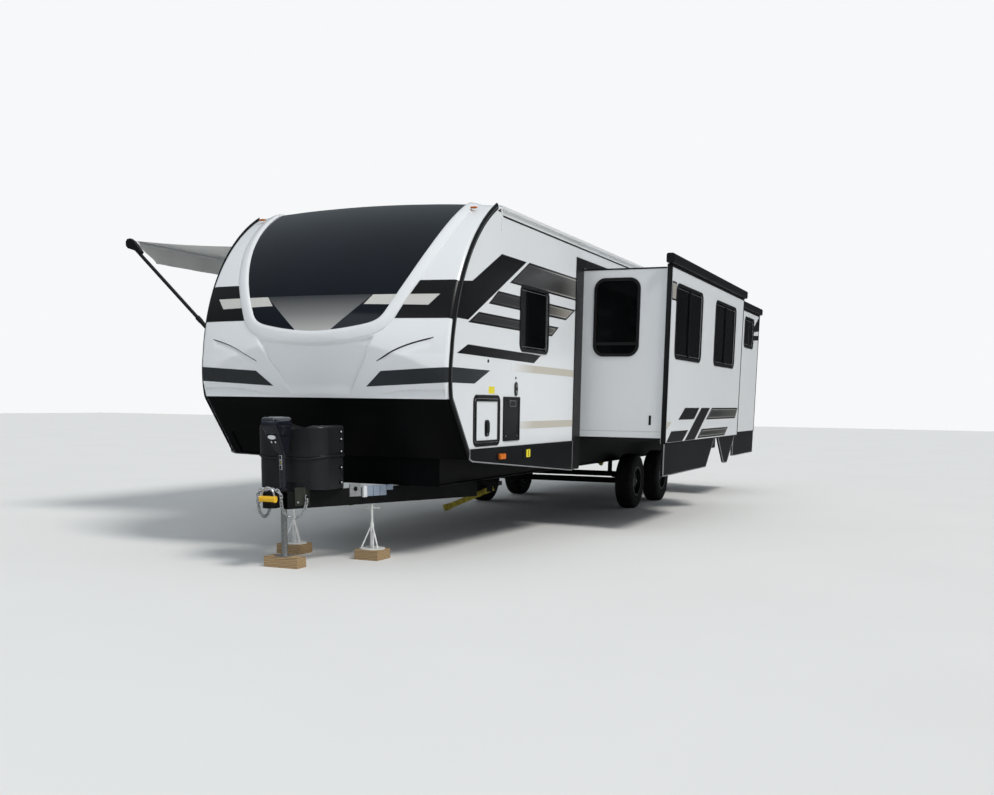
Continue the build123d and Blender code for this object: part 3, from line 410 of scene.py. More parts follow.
def cloth_finish(name, colour, thread):
    """A woven cloth: two fine waves crossed on the object's own coordinates."""
    tree, shader = new_finish(name, 0.85)
    place = object_place(tree)
    threads = []
    for direction in ("X", "Y"):
        wave = tree.nodes.new("ShaderNodeTexWave")
        wave.bands_direction = direction
        wave.inputs["Scale"].default_value = thread
        tree.links.new(place, wave.inputs["Vector"])
        threads.append(wave.outputs["Fac"])
    weave = tree.nodes.new("ShaderNodeMath")
    weave.operation = "MULTIPLY"
    tree.links.new(threads[0], weave.inputs[0])
    tree.links.new(threads[1], weave.inputs[1])
    clouds = noise(tree, place, 1.6, 4.0)
    tint(tree, shader, clouds, [(0.3, shade(colour, 0.9)), (0.7, shade(colour, 1.08))])
    bump(tree, shader, weave.outputs[0], 0.25, 0.0005)
    shader.inputs["Sheen Weight"].default_value = 0.15


def lens_finish(name, colour):
    tree, shader = new_finish(name, 0.12)
    ribs = tree.nodes.new("ShaderNodeTexWave")
    ribs.bands_direction = "Z"
    ribs.inputs["Scale"].default_value = 40.0
    tree.links.new(object_place(tree), ribs.inputs["Vector"])
    tint(tree, shader, ribs.outputs["Fac"], [(0.0, shade(colour, 0.75)), (1.0, colour)])
    bump(tree, shader, ribs.outputs["Fac"], 0.3)
    shader.inputs["Coat Weight"].default_value = 0.5


timber_finish()
cloth_finish("awning_cloth", (0.70, 0.70, 0.68), 220.0)
lens_finish("lamp_red", (0.42, 0.012, 0.010))
lens_finish("lamp_amber", (0.85, 0.20, 0.01))
print("soft and lamp finishes", len(finishes))

# %% [markdown]
# The windows are tinted so dark that by day they show only a mirror of what stands outside. A
# nearly black base with a faint sharp reflection does that and stays cheap to render. The floor
# takes a pale matt finish that keeps the shadow, and shows its own colour to the camera.

# %% Glass and floor finishes
def glass_finish():
    tree, shader = new_finish("dark_glass", 0.04)
    place = object_place(tree)
    tint(tree, shader, noise(tree, place, 1.3, 2.0), [
        (0.3, (0.002, 0.0025, 0.0025)), (0.7, (0.005, 0.0055, 0.006))])
    shader.inputs["Specular IOR Level"].default_value = 0.03
    bump(tree, shader, noise(tree, place, 1.1, 1.0), 0.02)


def floor_finish():
    """A pale matt floor that looks darker in mirrors, as gravel does."""
    tree, shader = new_finish("floor_pale", 0.9)
    clouds = noise(tree, object_place(tree), 0.6, 3.0)
    tone = ramp(tree, clouds, [(0.3, (0.81, 0.81, 0.80)), (0.7, (0.83, 0.83, 0.82))])
    rays = tree.nodes.new("ShaderNodeLightPath")
    blend = tree.nodes.new("ShaderNodeMix")
    blend.data_type = "RGBA"
    blend.inputs[7].default_value = (0.16, 0.16, 0.155, 1)
    tree.links.new(rays.outputs["Is Glossy Ray"], blend.inputs[0])
    tree.links.new(tone, blend.inputs[6])
    tree.links.new(blend.outputs[2], shader.inputs["Base Color"])


glass_finish()
floor_finish()
make_floor()
print("all finishes", len(finishes))

# %% [markdown]
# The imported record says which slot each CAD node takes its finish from. Their shapes are right,
# so they only need their materials exchanged.

# %% Dress the CAD nodes
def dress(node, finish):
    node.data.materials.clear()
    node.data.materials.append(finish)


dressed = 0
for row in frame["record"]["subparts"]:
    for node_name in row.get("nodes", [row.get("node")]):
        if node_name in frame["nodes"]:
            dress(frame["nodes"][node_name], finishes[row["material_slot"]])
            dressed += 1
print("dressed nodes", dressed)

# %% [markdown]
# Most new pieces start as one of four shapes: a flat grid whose points are then placed by a
# formula, a flat outline that is pushed out into a plate, a block with rounded edges, and a
# round bar. Each is a bmesh operator with a short wrapper. The last helper turns a finished
# bmesh into an object that rides on its body, with hard edges where the surface really breaks.

# %% Helpers for shapes
HARD_EDGE = radians(34)


def formed_grid(bm, columns, rows, place, material=0):
    """A grid whose points go to place(u, v), with u and v from 0 to 1."""
    made = bmesh.ops.create_grid(bm, x_segments=columns, y_segments=rows, size=0.5)
    for vertex in made["verts"]:
        vertex.co = place(vertex.co.x + 0.5, vertex.co.y + 0.5)
    faces = {face for vertex in made["verts"] for face in vertex.link_faces}
    for face in faces:
        face.material_index = material


def plate(bm, corners, push, material=0):
    """A flat outline made solid by pushing it along a vector."""
    face = bm.faces.new([bm.verts.new(corner) for corner in corners])
    face.material_index = material
    made = bmesh.ops.extrude_face_region(bm, geom=[face])
    verts = [item for item in made["geom"] if isinstance(item, bmesh.types.BMVert)]
    bmesh.ops.translate(bm, verts=verts, vec=push)
    for vertex in verts:
        for linked in vertex.link_faces:
            linked.material_index = material


def span(points):
    """The lowest and highest corners of a cloud of points."""
    return (Vector([min(point[axis] for point in points) for axis in range(3)]),
            Vector([max(point[axis] for point in points) for axis in range(3)]))


def box(bm, corner, opposite, bevel=0.0, material=0):
    """A block between any two opposite corners, its edges rounded."""
    low, high = span((corner, opposite))
    size, middle = high - low, (high + low) / 2
    made = bmesh.ops.create_cube(bm, size=1.0)
    bmesh.ops.scale(bm, verts=made["verts"], vec=size)
    faces = list({face for vertex in made["verts"] for face in vertex.link_faces})
    if bevel:
        edges = list({edge for face in faces for edge in face.edges})
        done = bmesh.ops.bevel(bm, geom=edges, offset=bevel, offset_type="OFFSET", affect="EDGES",
                               segments=2, profile=0.5, material=-1)
        faces = [face for face in set(faces) | set(done["faces"]) if face.is_valid]
    verts = list({vertex for face in faces for vertex in face.verts})
    bmesh.ops.translate(bm, verts=verts, vec=middle)
    for face in faces:
        face.material_index = material


def bar(bm, start, end, radius, sides=16, material=0, end_radius=None):
    """A round bar or cone between two points."""
    run = end - start
    spot = Matrix.Translation((start + end) / 2) @ run.to_track_quat("Z", "Y").to_matrix().to_4x4()
    made = bmesh.ops.create_cone(bm, cap_ends=True, cap_tris=False, segments=sides, radius1=radius,
                                 radius2=radius if end_radius is None else end_radius,
                                 depth=run.length, matrix=spot)
    for vertex in made["verts"]:
        for face in vertex.link_faces:
            face.material_index = material


def join_into(bm, part):
    """Adds one bmesh to another and frees it."""
    mesh = bpy.data.meshes.new("part")
    part.to_mesh(mesh)
    part.free()
    bm.from_mesh(mesh)
    bpy.data.meshes.remove(mesh)


def make_piece(name, bm, materials, body, weld=0.0, tidy_normals=True):
    """Turns a bmesh into an object on its body."""
    if weld:
        bmesh.ops.remove_doubles(bm, verts=bm.verts, dist=weld)
    if tidy_normals:
        bmesh.ops.recalc_face_normals(bm, faces=bm.faces)
    for face in bm.faces:
        face.smooth = True
    for edge in bm.edges:
        if len(edge.link_faces) == 2 and edge.calc_face_angle(0) > HARD_EDGE:
            edge.smooth = False
    mesh = bpy.data.meshes.new(name)
    bm.to_mesh(mesh)
    bm.free()
    for material in materials:
        mesh.materials.append(finishes[material])
    piece = bpy.data.objects.new(name, mesh)
    bpy.context.scene.collection.objects.link(piece)
    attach(piece, body)
    return piece


print("shape helpers ready")

# %% [markdown]
# The nose is the showpiece. Its middle profile is two tangent arcs, turned about an upright
# axis far behind it, rolled round a corner into each side wall and held under the crowned roof
# line. Below the screen its front is nearly flat from side to side. One function gives any
# point of that surface and its outward direction, so the skin, the gloss panel and the painted
# stripes all lie on the same form.

# %% Nose surface
ARC_Y, ARC_H, ARC_R = 2.286, 1.547, 1.658
CHIN_TOP_H, CHIN_FRONT, CHIN_BOTTOM = 1.750, (0.621, 1.572), (0.643, 1.385)
NOSE_AXIS_Y = 6.300
CORNER_R = 0.052
REACH = HALF_WIDTH + 0.030
TOP_H = 3.168
ROOF_SOFT = 0.022
FLAT_FRONT = [(0.918, 3.170), (0.660, 1.870), (0.785, 1.385)]
FLAT_SOFT = 0.008


def circle_through(a, b, c):
    """Centre and radius of the circle through three points of the profile."""
    d = 2 * (a[0] * (b[1] - c[1]) + b[0] * (c[1] - a[1]) + c[0] * (a[1] - b[1]))
    squares = [p[0] ** 2 + p[1] ** 2 for p in (a, b, c)]
    x = (squares[0] * (b[1] - c[1]) + squares[1] * (c[1] - a[1]) + squares[2] * (a[1] - b[1])) / d
    y = (squares[0] * (c[0] - b[0]) + squares[1] * (a[0] - c[0]) + squares[2] * (b[0] - a[0])) / d
    return x, y, hypot(a[0] - x, a[1] - y)


CHIN_TOP = (ARC_Y - sqrt(ARC_R ** 2 - (CHIN_TOP_H - ARC_H) ** 2), CHIN_TOP_H)
CHIN_ARC = circle_through(CHIN_TOP, CHIN_FRONT, CHIN_BOTTOM)


def profile(height):
    """Station of the middle of the nose, and its outward direction in the middle plane."""
    y, h, r = (ARC_Y, ARC_H, ARC_R) if height > CHIN_TOP_H else CHIN_ARC
    station = y - sqrt(max(r ** 2 - (height - h) ** 2, 1e-6))
    return station, (station - y) / r, (height - h) / r


def set_back(station, height):
    """How far the turned nose is moved back to its flat lower front, softly at the join."""
    (back, high), (front, low) = FLAT_FRONT[:2] if height > FLAT_FRONT[1][1] else FLAT_FRONT[1:]
    gap = mix(front, back, (height - low) / (high - low)) - station
    if abs(gap) < FLAT_SOFT:
        return (gap + FLAT_SOFT) ** 2 / (4 * FLAT_SOFT)
    return max(gap, 0.0)


def nose_point(across, height, lift=0.0):
    """A point of the nose. Across runs from the middle and round the corner to REACH."""
    station, back, up = profile(height)
    turn_r = NOSE_AXIS_Y - station
    inner_r = turn_r + back * CORNER_R
    start = asin((HALF_WIDTH - CORNER_R) / inner_r)
    corner_x = turn_r * sin(start)
    side = 1 if across >= 0 else -1
    reach = abs(across)
    if reach <= corner_x:
        turn = asin(reach / turn_r)
        normal = Vector((-back * sin(turn), back * cos(turn), up))
        point = Vector((reach, NOSE_AXIS_Y - turn_r * cos(turn), height))
    else:
        first = Vector((-back * sin(start), back * cos(start), up))
        share = min((reach - corner_x) / (REACH - corner_x), 1.0)
        normal = first.slerp(Vector((1, 0, 0)), share)
        centre = Vector((HALF_WIDTH - CORNER_R, NOSE_AXIS_Y - inner_r * cos(start),
                         height - CORNER_R * up))
        point = centre + normal * CORNER_R
    point.y += set_back(NOSE_AXIS_Y - turn_r * cos(asin(min(reach, corner_x) / turn_r)), height)
    roof = roof_h(point.x)
    over = smooth_step((point.z - roof + ROOF_SOFT) / (2 * ROOF_SOFT))
    near = max(ROOF_SOFT - abs(point.z - roof), 0) / ROOF_SOFT
    point.z = min(point.z, roof) - near * near * ROOF_SOFT / 4
    normal = normal.lerp(Vector((0, 0, 1)), over).normalized()
    point += normal * lift
    return at(side * point.x, point.y, point.z), Vector((side * normal.x, normal.y, normal.z))


print("nose front at station", round(nose_point(0, CHIN_FRONT[1])[0].y, 3))

# %% [markdown]
# The moulding isn't smooth: a raised surround frames the gloss panel, the chin between two
# creases is set back under it, each cheek sinks towards a curved brow line, and the lower edge
# is scooped on both sides. Each of these is a height above the plain surface, worked out from
# the distance to a line drawn on the nose.

# %% Relief of the nose
SCREEN_HALF = [
    # across, height: from the middle of the panel's lower edge up its side to the roof
    (0.0, 1.918), (0.240, 1.937), (0.480, 1.974), (0.580, 2.005), (0.634, 2.050), (0.668, 2.108),
    (0.738, 2.240), (0.818, 2.412), (0.900, 2.640), (0.944, 2.830), (0.968, 3.000), (0.972, 3.168)]
CREASE = [    # the chin's edge, from the surround down
    (0.712, 2.030), (0.615, 1.930), (0.520, 1.785), (0.477, 1.700), (0.410, 1.600), (0.305, 1.433)]
BROW = [    # the slot in the cheek, from the side inward
    (1.082, 1.876), (0.990, 1.856), (0.890, 1.828), (0.800, 1.795), (0.720, 1.757), (0.590, 1.687)]
CHIN_DEPTH = 0.024
CHIN_BEVELS = (0.014, 0.060)               # how wide the crease is, low and high on the chin
CHIN_EDGE_H, CHIN_EDGE_RISE = 1.832, 0.195     # upper edge: middle, and rise by distance squared
SCOOP_DEPTH = 0.020
SCOOP_TOP, SCOOP_FALL, SCOOP_FOOT = 1.466, 0.063, 1.388
SCOOP_ENDS = (0.30, 1.185)
BROW_DEPTH = 0.014
BROW_REACH = 0.085
BROW_FADE = 0.12
RELIEF_TOP = 2.10


def nearest(point, line):
    """Distance from a point to a broken line, its sign by side, and how far along it is."""
    best = None
    for index, (a, b) in enumerate(zip(line, line[1:])):
        run = (b[0] - a[0], b[1] - a[1])
        length = hypot(*run)
        share = ((point[0] - a[0]) * run[0] + (point[1] - a[1]) * run[1]) / length ** 2
        share = min(max(share, 0.0), 1.0)
        gap = (point[0] - a[0] - run[0] * share, point[1] - a[1] - run[1] * share)
        distance = hypot(*gap)
        side = 1 if run[0] * gap[1] - run[1] * gap[0] > 0 else -1
        if best is None or distance < abs(best[0]):
            best = (side * distance, (index + share) / (len(line) - 1))
    return best


def outline_track(points, steps):
    """Evenly spaced points along a broken line that is rounded twice, with their outward turns."""
    rounded = points
    for _ in range(2):
        cut = [rounded[0]]
        for a, b in zip(rounded, rounded[1:]):
            cut.append((mix(a[0], b[0], 0.25), mix(a[1], b[1], 0.25)))
            cut.append((mix(a[0], b[0], 0.75), mix(a[1], b[1], 0.75)))
        cut.append(rounded[-1])
        rounded = cut
    lengths = [0.0]
    for a, b in zip(rounded, rounded[1:]):
        lengths.append(lengths[-1] + hypot(b[0] - a[0], b[1] - a[1]))
    track = []
    index = 0
    for step in range(steps + 1):
        wanted = lengths[-1] * step / steps
        while index < len(lengths) - 2 and lengths[index + 1] < wanted:
            index += 1
        a, b = rounded[index], rounded[index + 1]
        length = lengths[index + 1] - lengths[index]
        share = (wanted - lengths[index]) / length
        run = ((b[0] - a[0]) / length, (b[1] - a[1]) / length)
        track.append(((mix(a[0], b[0], share), mix(a[1], b[1], share)), (run[1], -run[0])))
    return track


def crease_x(height):
    """How far out the chin crease is at a height."""
    for (outer, high), (inner, low) in zip(CREASE, CREASE[1:]):
        if height >= low:
            return mix(inner, outer, (height - low) / (high - low))
    return CREASE[-1][0]


def chin_relief(reach, height):
    """The chin lies deeper between the two creases, under the surround's lower edge."""
    inside = crease_x(min(height, CREASE[0][1])) - reach
    bevel = mix(*CHIN_BEVELS, smooth_step((height - 1.69) / 0.25))
    under = smooth_step((CHIN_EDGE_H + CHIN_EDGE_RISE * reach ** 2 - height) / 0.016)
    foot = smooth_step((height - CHIN_BOTTOM[1] - 0.02) / 0.10)
    return -CHIN_DEPTH * smooth_step(inside / bevel) * under * foot


def scoop_relief(reach, height):
    """The lower edge is scooped out on both sides of the chin."""
    top = SCOOP_TOP - SCOOP_FALL * smooth_step((0.95 - reach) / 0.6)
    ends = smooth_step((reach - SCOOP_ENDS[0]) / 0.12) * smooth_step((SCOOP_ENDS[1] - reach) / 0.02)
    edges = smooth_step((top - height) / 0.010) * smooth_step((height - SCOOP_FOOT) / 0.07)
    return -SCOOP_DEPTH * ends * edges


def brow_relief(distance, along):
    """The cheek above the brow line sinks towards it, and fades at both ends."""
    if distance <= 0:
        return 0.0
    return -BROW_DEPTH * fade_ends(along, BROW_FADE) * max(1 - distance / BROW_REACH, 0.0) ** 2


def relief(across, height):
    reach = abs(across)
    if height > RELIEF_TOP:
        return 0.0
    brow = brow_relief(*nearest((reach, height), BROW))
    return chin_relief(reach, height) + scoop_relief(reach, height) + brow


print("chin set back", CHIN_DEPTH, "brow groove", BROW_DEPTH)

# %% [markdown]
# The skin is one fine grid laid over the surface, with most of its rows below the screen where
# the relief is. Behind the roof joint it is cut off square. A coarser grid inside it gives the
# moulding its wall. Along each brow line the skin dips well clear of the slot that is laid over
# it in the next cell.

# %% Nose skin
SKIN_COLUMNS, SKIN_ROWS = 400, 176
INNER_COLUMNS, INNER_ROWS = 60, 48
SKIN_WALL = 0.030
RELIEF_SHARE = 0.66
TRENCH, TRENCH_HALF, TRENCH_SOFT, TRENCH_FADE = 0.026, 0.020, 0.008, 0.05
BROW_BAND = (1.60, 1.95)


def skin_height(share):
    """Height on the nose for a share of its rows, from the black line to the roof."""
    if share < RELIEF_SHARE:
        return mix(CHIN_BOTTOM[1], RELIEF_TOP, share / RELIEF_SHARE)
    low, high = asin((RELIEF_TOP - ARC_H) / ARC_R), asin((TOP_H - ARC_H) / ARC_R)
    return ARC_H + ARC_R * sin(mix(low, high, (share - RELIEF_SHARE) / (1 - RELIEF_SHARE)))


def skin_place(u, v):
    across, height = mix(-REACH, REACH, u), skin_height(v)
    lift = relief(across, height)
    if BROW_BAND[0] < height < BROW_BAND[1]:
        distance, along = nearest((abs(across), height), BROW)
        near = smooth_step((TRENCH_HALF - abs(distance)) / TRENCH_SOFT)
        lift -= TRENCH * fade_ends(along, TRENCH_FADE) * near
    return nose_point(across, height, lift)[0]


def inner_place(u, v):
    return nose_point(mix(-REACH, REACH, u), skin_height(v), -SKIN_WALL)[0]


def cut_at_roof_joint(bm):
    bmesh.ops.bisect_plane(bm, geom=bm.verts[:] + bm.edges[:] + bm.faces[:], dist=1e-5,
                           plane_co=at(0, CAP_BACK_Y, 0), plane_no=(0, 1, 0), clear_outer=True)


def make_nose_skin():
    bm = bmesh.new()
    formed_grid(bm, SKIN_COLUMNS, SKIN_ROWS, skin_place)
    cut_at_roof_joint(bm)
    bmesh.ops.recalc_face_normals(bm, faces=bm.faces)
    if sum(face.normal.y for face in bm.faces) > 0:
        bmesh.ops.reverse_faces(bm, faces=bm.faces)
    inner = bmesh.new()
    formed_grid(inner, INNER_COLUMNS, INNER_ROWS, inner_place)
    cut_at_roof_joint(inner)
    join_into(bm, inner)
    return make_piece("nose_skin", bm, ["white_moulding"], "trailer",
                      tidy_normals=False)


nose_skin = make_nose_skin()
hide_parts("front_cap")
print("nose skin faces", len(nose_skin.data.polygons))

# %% [markdown]
# Each brow line is a narrow slot between the upper cheek and the lower one. Its section is swept
# along the line: a strip of the upper cheek, the two walls of the slot, and a strip of the lower
# cheek, each just proud of the skin. The walls of the slot are black: painted shade that stands
# for the shadow deep in the groove.

# %% Brow slots
BROW_STEPS = 72
SLOT_FADE = 0.08
BROW_SECTION = [
    # distance above the line, height off the cheek, 1 for the slot's own points
    (0.027, 0.0003, 0), (0.014, 0.0005, 0), (0.006, 0.0005, 0), (0.0045, -0.002, 1),
    (0.0045, -0.020, 1), (-0.0025, -0.020, 1), (-0.0025, -0.001, 1), (-0.004, 0.0006, 0),
    (-0.014, 0.0006, 0), (-0.027, 0.0003, 0)]
BROW_SLICES = [
    # first row, last row, material; material 1, on the slot's walls, is black as painted shade
    (0, 3, 0), (3, 6, 1), (6, 9, 0)]


def make_brow(side):
    track = outline_track(BROW, BROW_STEPS)
    bm = bmesh.new()
    for first, last, material in BROW_SLICES:
        def place(u, v):
            (x, h), (out_x, out_h) = track[round(u * BROW_STEPS)]
            distance, lift, deep = BROW_SECTION[first + round(v * (last - first))]
            up = 1 if out_h > 0 else -1
            x, h = x + up * out_x * distance, h + up * out_h * distance
            lift *= fade_ends(u, SLOT_FADE) if deep else 1
            return nose_point(side * x, h, relief(x, h) + lift)[0]

        formed_grid(bm, BROW_STEPS, last - first, place, material)
    bmesh.ops.remove_doubles(bm, verts=bm.verts, dist=0.0001)
    return bm


brows = make_brow(ROAD)
join_into(brows, make_brow(CURB))
brow_slots = make_piece("brow_slots", brows, ["white_moulding", "black_trim"], "trailer")
print("brow slot faces", len(brow_slots.data.polygons))

# %% [markdown]
# The gloss panel is cut to the windscreen outline: a grid over its box, trimmed along each
# straight edge of the outline and then laid on the surface. The same steps make every painted
# stripe of the nose, so they are one function.

# %% Sheets cut to an outline on the nose
CELL = 0.016


def cut_sheet(corners, material=0):
    """A flat grid in across and height, trimmed to a convex outline given anticlockwise."""
    low = (min(x for x, h in corners), min(h for x, h in corners))
    high = (max(x for x, h in corners), max(h for x, h in corners))
    columns = max(int((high[0] - low[0]) / CELL), 1)
    rows = max(int((high[1] - low[1]) / CELL), 1)

    def place(u, v):
        return Vector((mix(low[0], high[0], u), mix(low[1], high[1], v), 0))

    sheet = bmesh.new()
    formed_grid(sheet, columns, rows, place, material)
    for (ax, ah), (bx, bh) in zip(corners, corners[1:] + corners[:1]):
        outward = Vector((bh - ah, ax - bx, 0))
        bmesh.ops.bisect_plane(sheet, geom=sheet.verts[:] + sheet.edges[:] + sheet.faces[:], dist=1e-6,
                               plane_co=(ax, ah, 0), plane_no=outward, clear_outer=True)
    return sheet


def lay_on_nose(sheet, lift):
    """Moves a flat sheet onto the nose, a little above its skin."""
    for vertex in sheet.verts:
        across, height = vertex.co.x, vertex.co.y
        vertex.co = nose_point(across, height, relief(across, height) + lift)[0]


def draw_border(bm, edges, way):
    """Gives a sheet an edge: copies of its border are drawn inward."""
    made = bmesh.ops.extrude_edge_only(bm, edges=[edge for edge in edges if edge.is_boundary])
    verts = [item for item in made["geom"] if isinstance(item, bmesh.types.BMVert)]
    bmesh.ops.translate(bm, verts=verts, vec=way)


screen_outline = SCREEN_HALF + [(-x, h) for x, h in reversed(SCREEN_HALF[1:])]
print("screen corners", len(screen_outline))

# %% [markdown]
# Black gloss film fills the surround from side to side and runs up over the roof edge. It lies
# a few millimetres below the crest of the surround, as a real glazed panel would.

# %% Gloss panel
SCREEN_LIFT = 0.0035
SCREEN_EDGE = 0.006


def make_gloss_panel():
    sheet = cut_sheet(screen_outline)
    lay_on_nose(sheet, SCREEN_LIFT)
    cut_at_roof_joint(sheet)
    draw_border(sheet, sheet.edges, (0, SCREEN_EDGE, 0))
    return make_piece("gloss_panel", sheet, ["black_gloss"], "trailer")


gloss_panel = make_gloss_panel()
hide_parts("windshield")
print("gloss panel faces", len(gloss_panel.data.polygons))

# %% [markdown]
# The surround is a raised band that follows the outline. Its section is a short list of
# distances from the edge and heights above the skin: a steep inner lip, a round crest and a
# long outer slope that ends in a small step. Below the panel that step is the chin's upper edge.

# %% Surround
SECTION = [(-0.014, -0.004), (-0.010, 0.007), (-0.004, 0.016), (0.006, 0.020), (0.022, 0.020),
           (0.050, 0.016), (0.078, 0.010), (0.088, 0.006), (0.094, -0.004)]
SURROUND_STEPS = 240


def make_surround():
    line = [(-x, h) for x, h in reversed(SCREEN_HALF)] + SCREEN_HALF[1:]
    track = outline_track(line, SURROUND_STEPS)

    def place(u, v):
        (x, h), (out_x, out_h) = track[round(u * SURROUND_STEPS)]
        distance, lift = SECTION[round(v * (len(SECTION) - 1))]
        x, h = x + out_x * distance, h + out_h * distance
        return nose_point(x, min(h, TOP_H), relief(x, h) + lift)[0]

    bm = bmesh.new()
    formed_grid(bm, SURROUND_STEPS, len(SECTION) - 1, place)
    cut_at_roof_joint(bm)
    return make_piece("screen_surround", bm, ["white_moulding"], "trailer")


surround = make_surround()
print("surround faces", len(surround.data.polygons))

# %% [markdown]
# The painted stripes of the nose are film: thin sheets cut to straight-sided outlines. The same
# rows serve both halves, mirrored. A wide black band runs out to the corner above and below a
# silver one, a grey wedge fades upward inside the gloss panel, and a dark grey band crosses
# each cheek.

# %% Nose stripes
FILM_LIFT = 0.0015
WEDGE_LIFT = 0.0012


def fade_finish(name, axis, start, end, stops, roughness=0.30):
    """A film whose colour changes with the distance along one axis of the caravan."""
    tree, shader = new_finish(name, roughness)
    apart = tree.nodes.new("ShaderNodeSeparateXYZ")
    place = object_place(tree)
    tree.links.new(place, apart.inputs[0])
    along = tree.nodes.new("ShaderNodeMapRange")
    along.inputs["From Min"].default_value = start
    along.inputs["From Max"].default_value = end
    tree.links.new(apart.outputs[axis], along.inputs["Value"])
    tint(tree, shader, along.outputs["Result"], stops)
    bump(tree, shader, noise(tree, place, 3.0, 1.0), 0.02)


plain_finish("film_black", (0.007, 0.007, 0.008), 0.30, blotch=1.5, spread=0.2, grain=3.0,
             grain_strength=0.02, specular=0.25)
plain_finish("film_grey", (0.030, 0.034, 0.038), 0.28, blotch=1.5, spread=0.15, grain=3.0,
             grain_strength=0.02, specular=0.4)
plain_finish("film_silver", (0.62, 0.61, 0.58), 0.30, blotch=1.5, spread=0.03, grain=3.0,
             grain_strength=0.02)
fade_finish("film_wedge", "Z", 1.92 - BALL_HEIGHT, 2.23 - BALL_HEIGHT, [
    (0.0, (0.50, 0.49, 0.48)), (0.5, (0.20, 0.20, 0.20)), (1.0, (0.030, 0.032, 0.036))])

NOSE_FILMS = [
    # finish, lift, corners on the road half as (across, height), anticlockwise
    ("film_black", FILM_LIFT, [(0.735, 2.031), (REACH, 2.031), (REACH, 2.345), (0.891, 2.342)]),
    ("film_silver", 3 * FILM_LIFT, [(0.445, 2.148), (1.005, 2.137), (1.085, 2.226), (0.514, 2.226)]),
    ("film_grey", FILM_LIFT, [(0.460, 1.481), (REACH, 1.521), (REACH, 1.643), (0.614, 1.608)]),
]
WEDGE = [(-0.150, 1.922), (0.145, 1.922), (0.515, 2.228), (-0.515, 2.228)]


def make_nose_stripes():
    bm = bmesh.new()
    names = sorted({row[0] for row in NOSE_FILMS} | {"film_wedge"})
    for name, lift, corners in NOSE_FILMS:
        other = [(-x, h) for x, h in reversed(corners)]
        for outline in (corners, other):
            part = cut_sheet(outline, names.index(name))
            lay_on_nose(part, lift)
            draw_border(part, part.edges, (0, FILM_LIFT, 0))
            join_into(bm, part)
    part = cut_sheet(WEDGE, names.index("film_wedge"))
    lay_on_nose(part, SCREEN_LIFT + WEDGE_LIFT)
    join_into(bm, part)
    return make_piece("nose_stripes", bm, names, "trailer")


nose_stripes = make_nose_stripes()
print("nose stripe faces", len(nose_stripes.data.polygons))

# %% [markdown]
# A rubber-edged moulding covers the joint between the nose and each side wall. It is a strip
# whose section is swept down the side profile: two dark lips with a lighter screw cover
# between them. The side profile is the same pair of arcs, moved back to the seam, and below
# them a straight rake down to the belly.

# %% Seam moulding
SEAM_SHIFT = 0.175
BELLY = (1.212, 0.878)
SEAM_TOP_H = EAVES_H - 0.002
BELLY_SHARE, CHIN_SHARE = 0.24, 0.38
SEAM_STEPS, SEAM_AHEAD = 90, 0.004
INSERT_OUT = 0.0093
SEAM_SECTION = [
    # along the wall from the seam, out from the wall
    (-0.024, -0.006), (-0.022, 0.003), (-0.012, 0.007), (-0.002, 0.008), (0.002, 0.0095),
    (0.010, 0.0095), (0.014, 0.008), (0.022, 0.007), (0.030, 0.004), (0.032, 0.000)]
plain_finish("trim_insert", (0.10, 0.105, 0.11), 0.4, blotch=8.0, spread=0.1, grain=120.0,
             grain_strength=0.08)


def seam_y(height):
    """Station of the seam at a height."""
    return profile(height)[0] + SEAM_SHIFT


def seam_point(share):
    """Station and height on the seam, from the belly up to the eaves."""
    if share < BELLY_SHARE:
        part = share / BELLY_SHARE
        return mix(BELLY[0], CHIN_BOTTOM[0] + SEAM_SHIFT, part), mix(BELLY[1], CHIN_BOTTOM[1], part)
    if share < CHIN_SHARE:
        height = mix(CHIN_BOTTOM[1], CHIN_TOP_H, (share - BELLY_SHARE) / (CHIN_SHARE - BELLY_SHARE))
    else:
        low, high = asin((CHIN_TOP_H - ARC_H) / ARC_R), asin((SEAM_TOP_H - ARC_H) / ARC_R)
        height = ARC_H + ARC_R * sin(mix(low, high, (share - CHIN_SHARE) / (1 - CHIN_SHARE)))
    return seam_y(height), height


def make_seam(side):
    def place(u, v):
        here, ahead = seam_point(max(u - SEAM_AHEAD, 0)), seam_point(min(u + SEAM_AHEAD, 1))
        y, h = seam_point(u)
        run = Vector((ahead[0] - here[0], ahead[1] - here[1])).normalized()
        along, out = SEAM_SECTION[round(v * (len(SEAM_SECTION) - 1))]
        return at(side * (HALF_WIDTH + out), y + run.y * along, h - run.x * along)

    bm = bmesh.new()
    formed_grid(bm, SEAM_STEPS, len(SEAM_SECTION) - 1, place)
    for face in bm.faces:
        if face.calc_center_median().x * side > HALF_WIDTH + INSERT_OUT:
            face.material_index = 1
    return bm


seams = make_seam(ROAD)
join_into(seams, make_seam(CURB))
seam_moulding = make_piece("seam_moulding", seams, ["black_trim", "trim_insert"], "trailer")
print("seam faces", len(seam_moulding.data.polygons))

# %% [markdown]
# The stripes on the flat walls are film as well. Each is an outline of a few corners on the
# wall. Some have a dark border, a thin light line and a tone that fades along the caravan,
# which two insets of the face give. A new face has no normal until it is worked out, and the
# inset needs one. Where a stripe passes a window it ends a little under the frame.

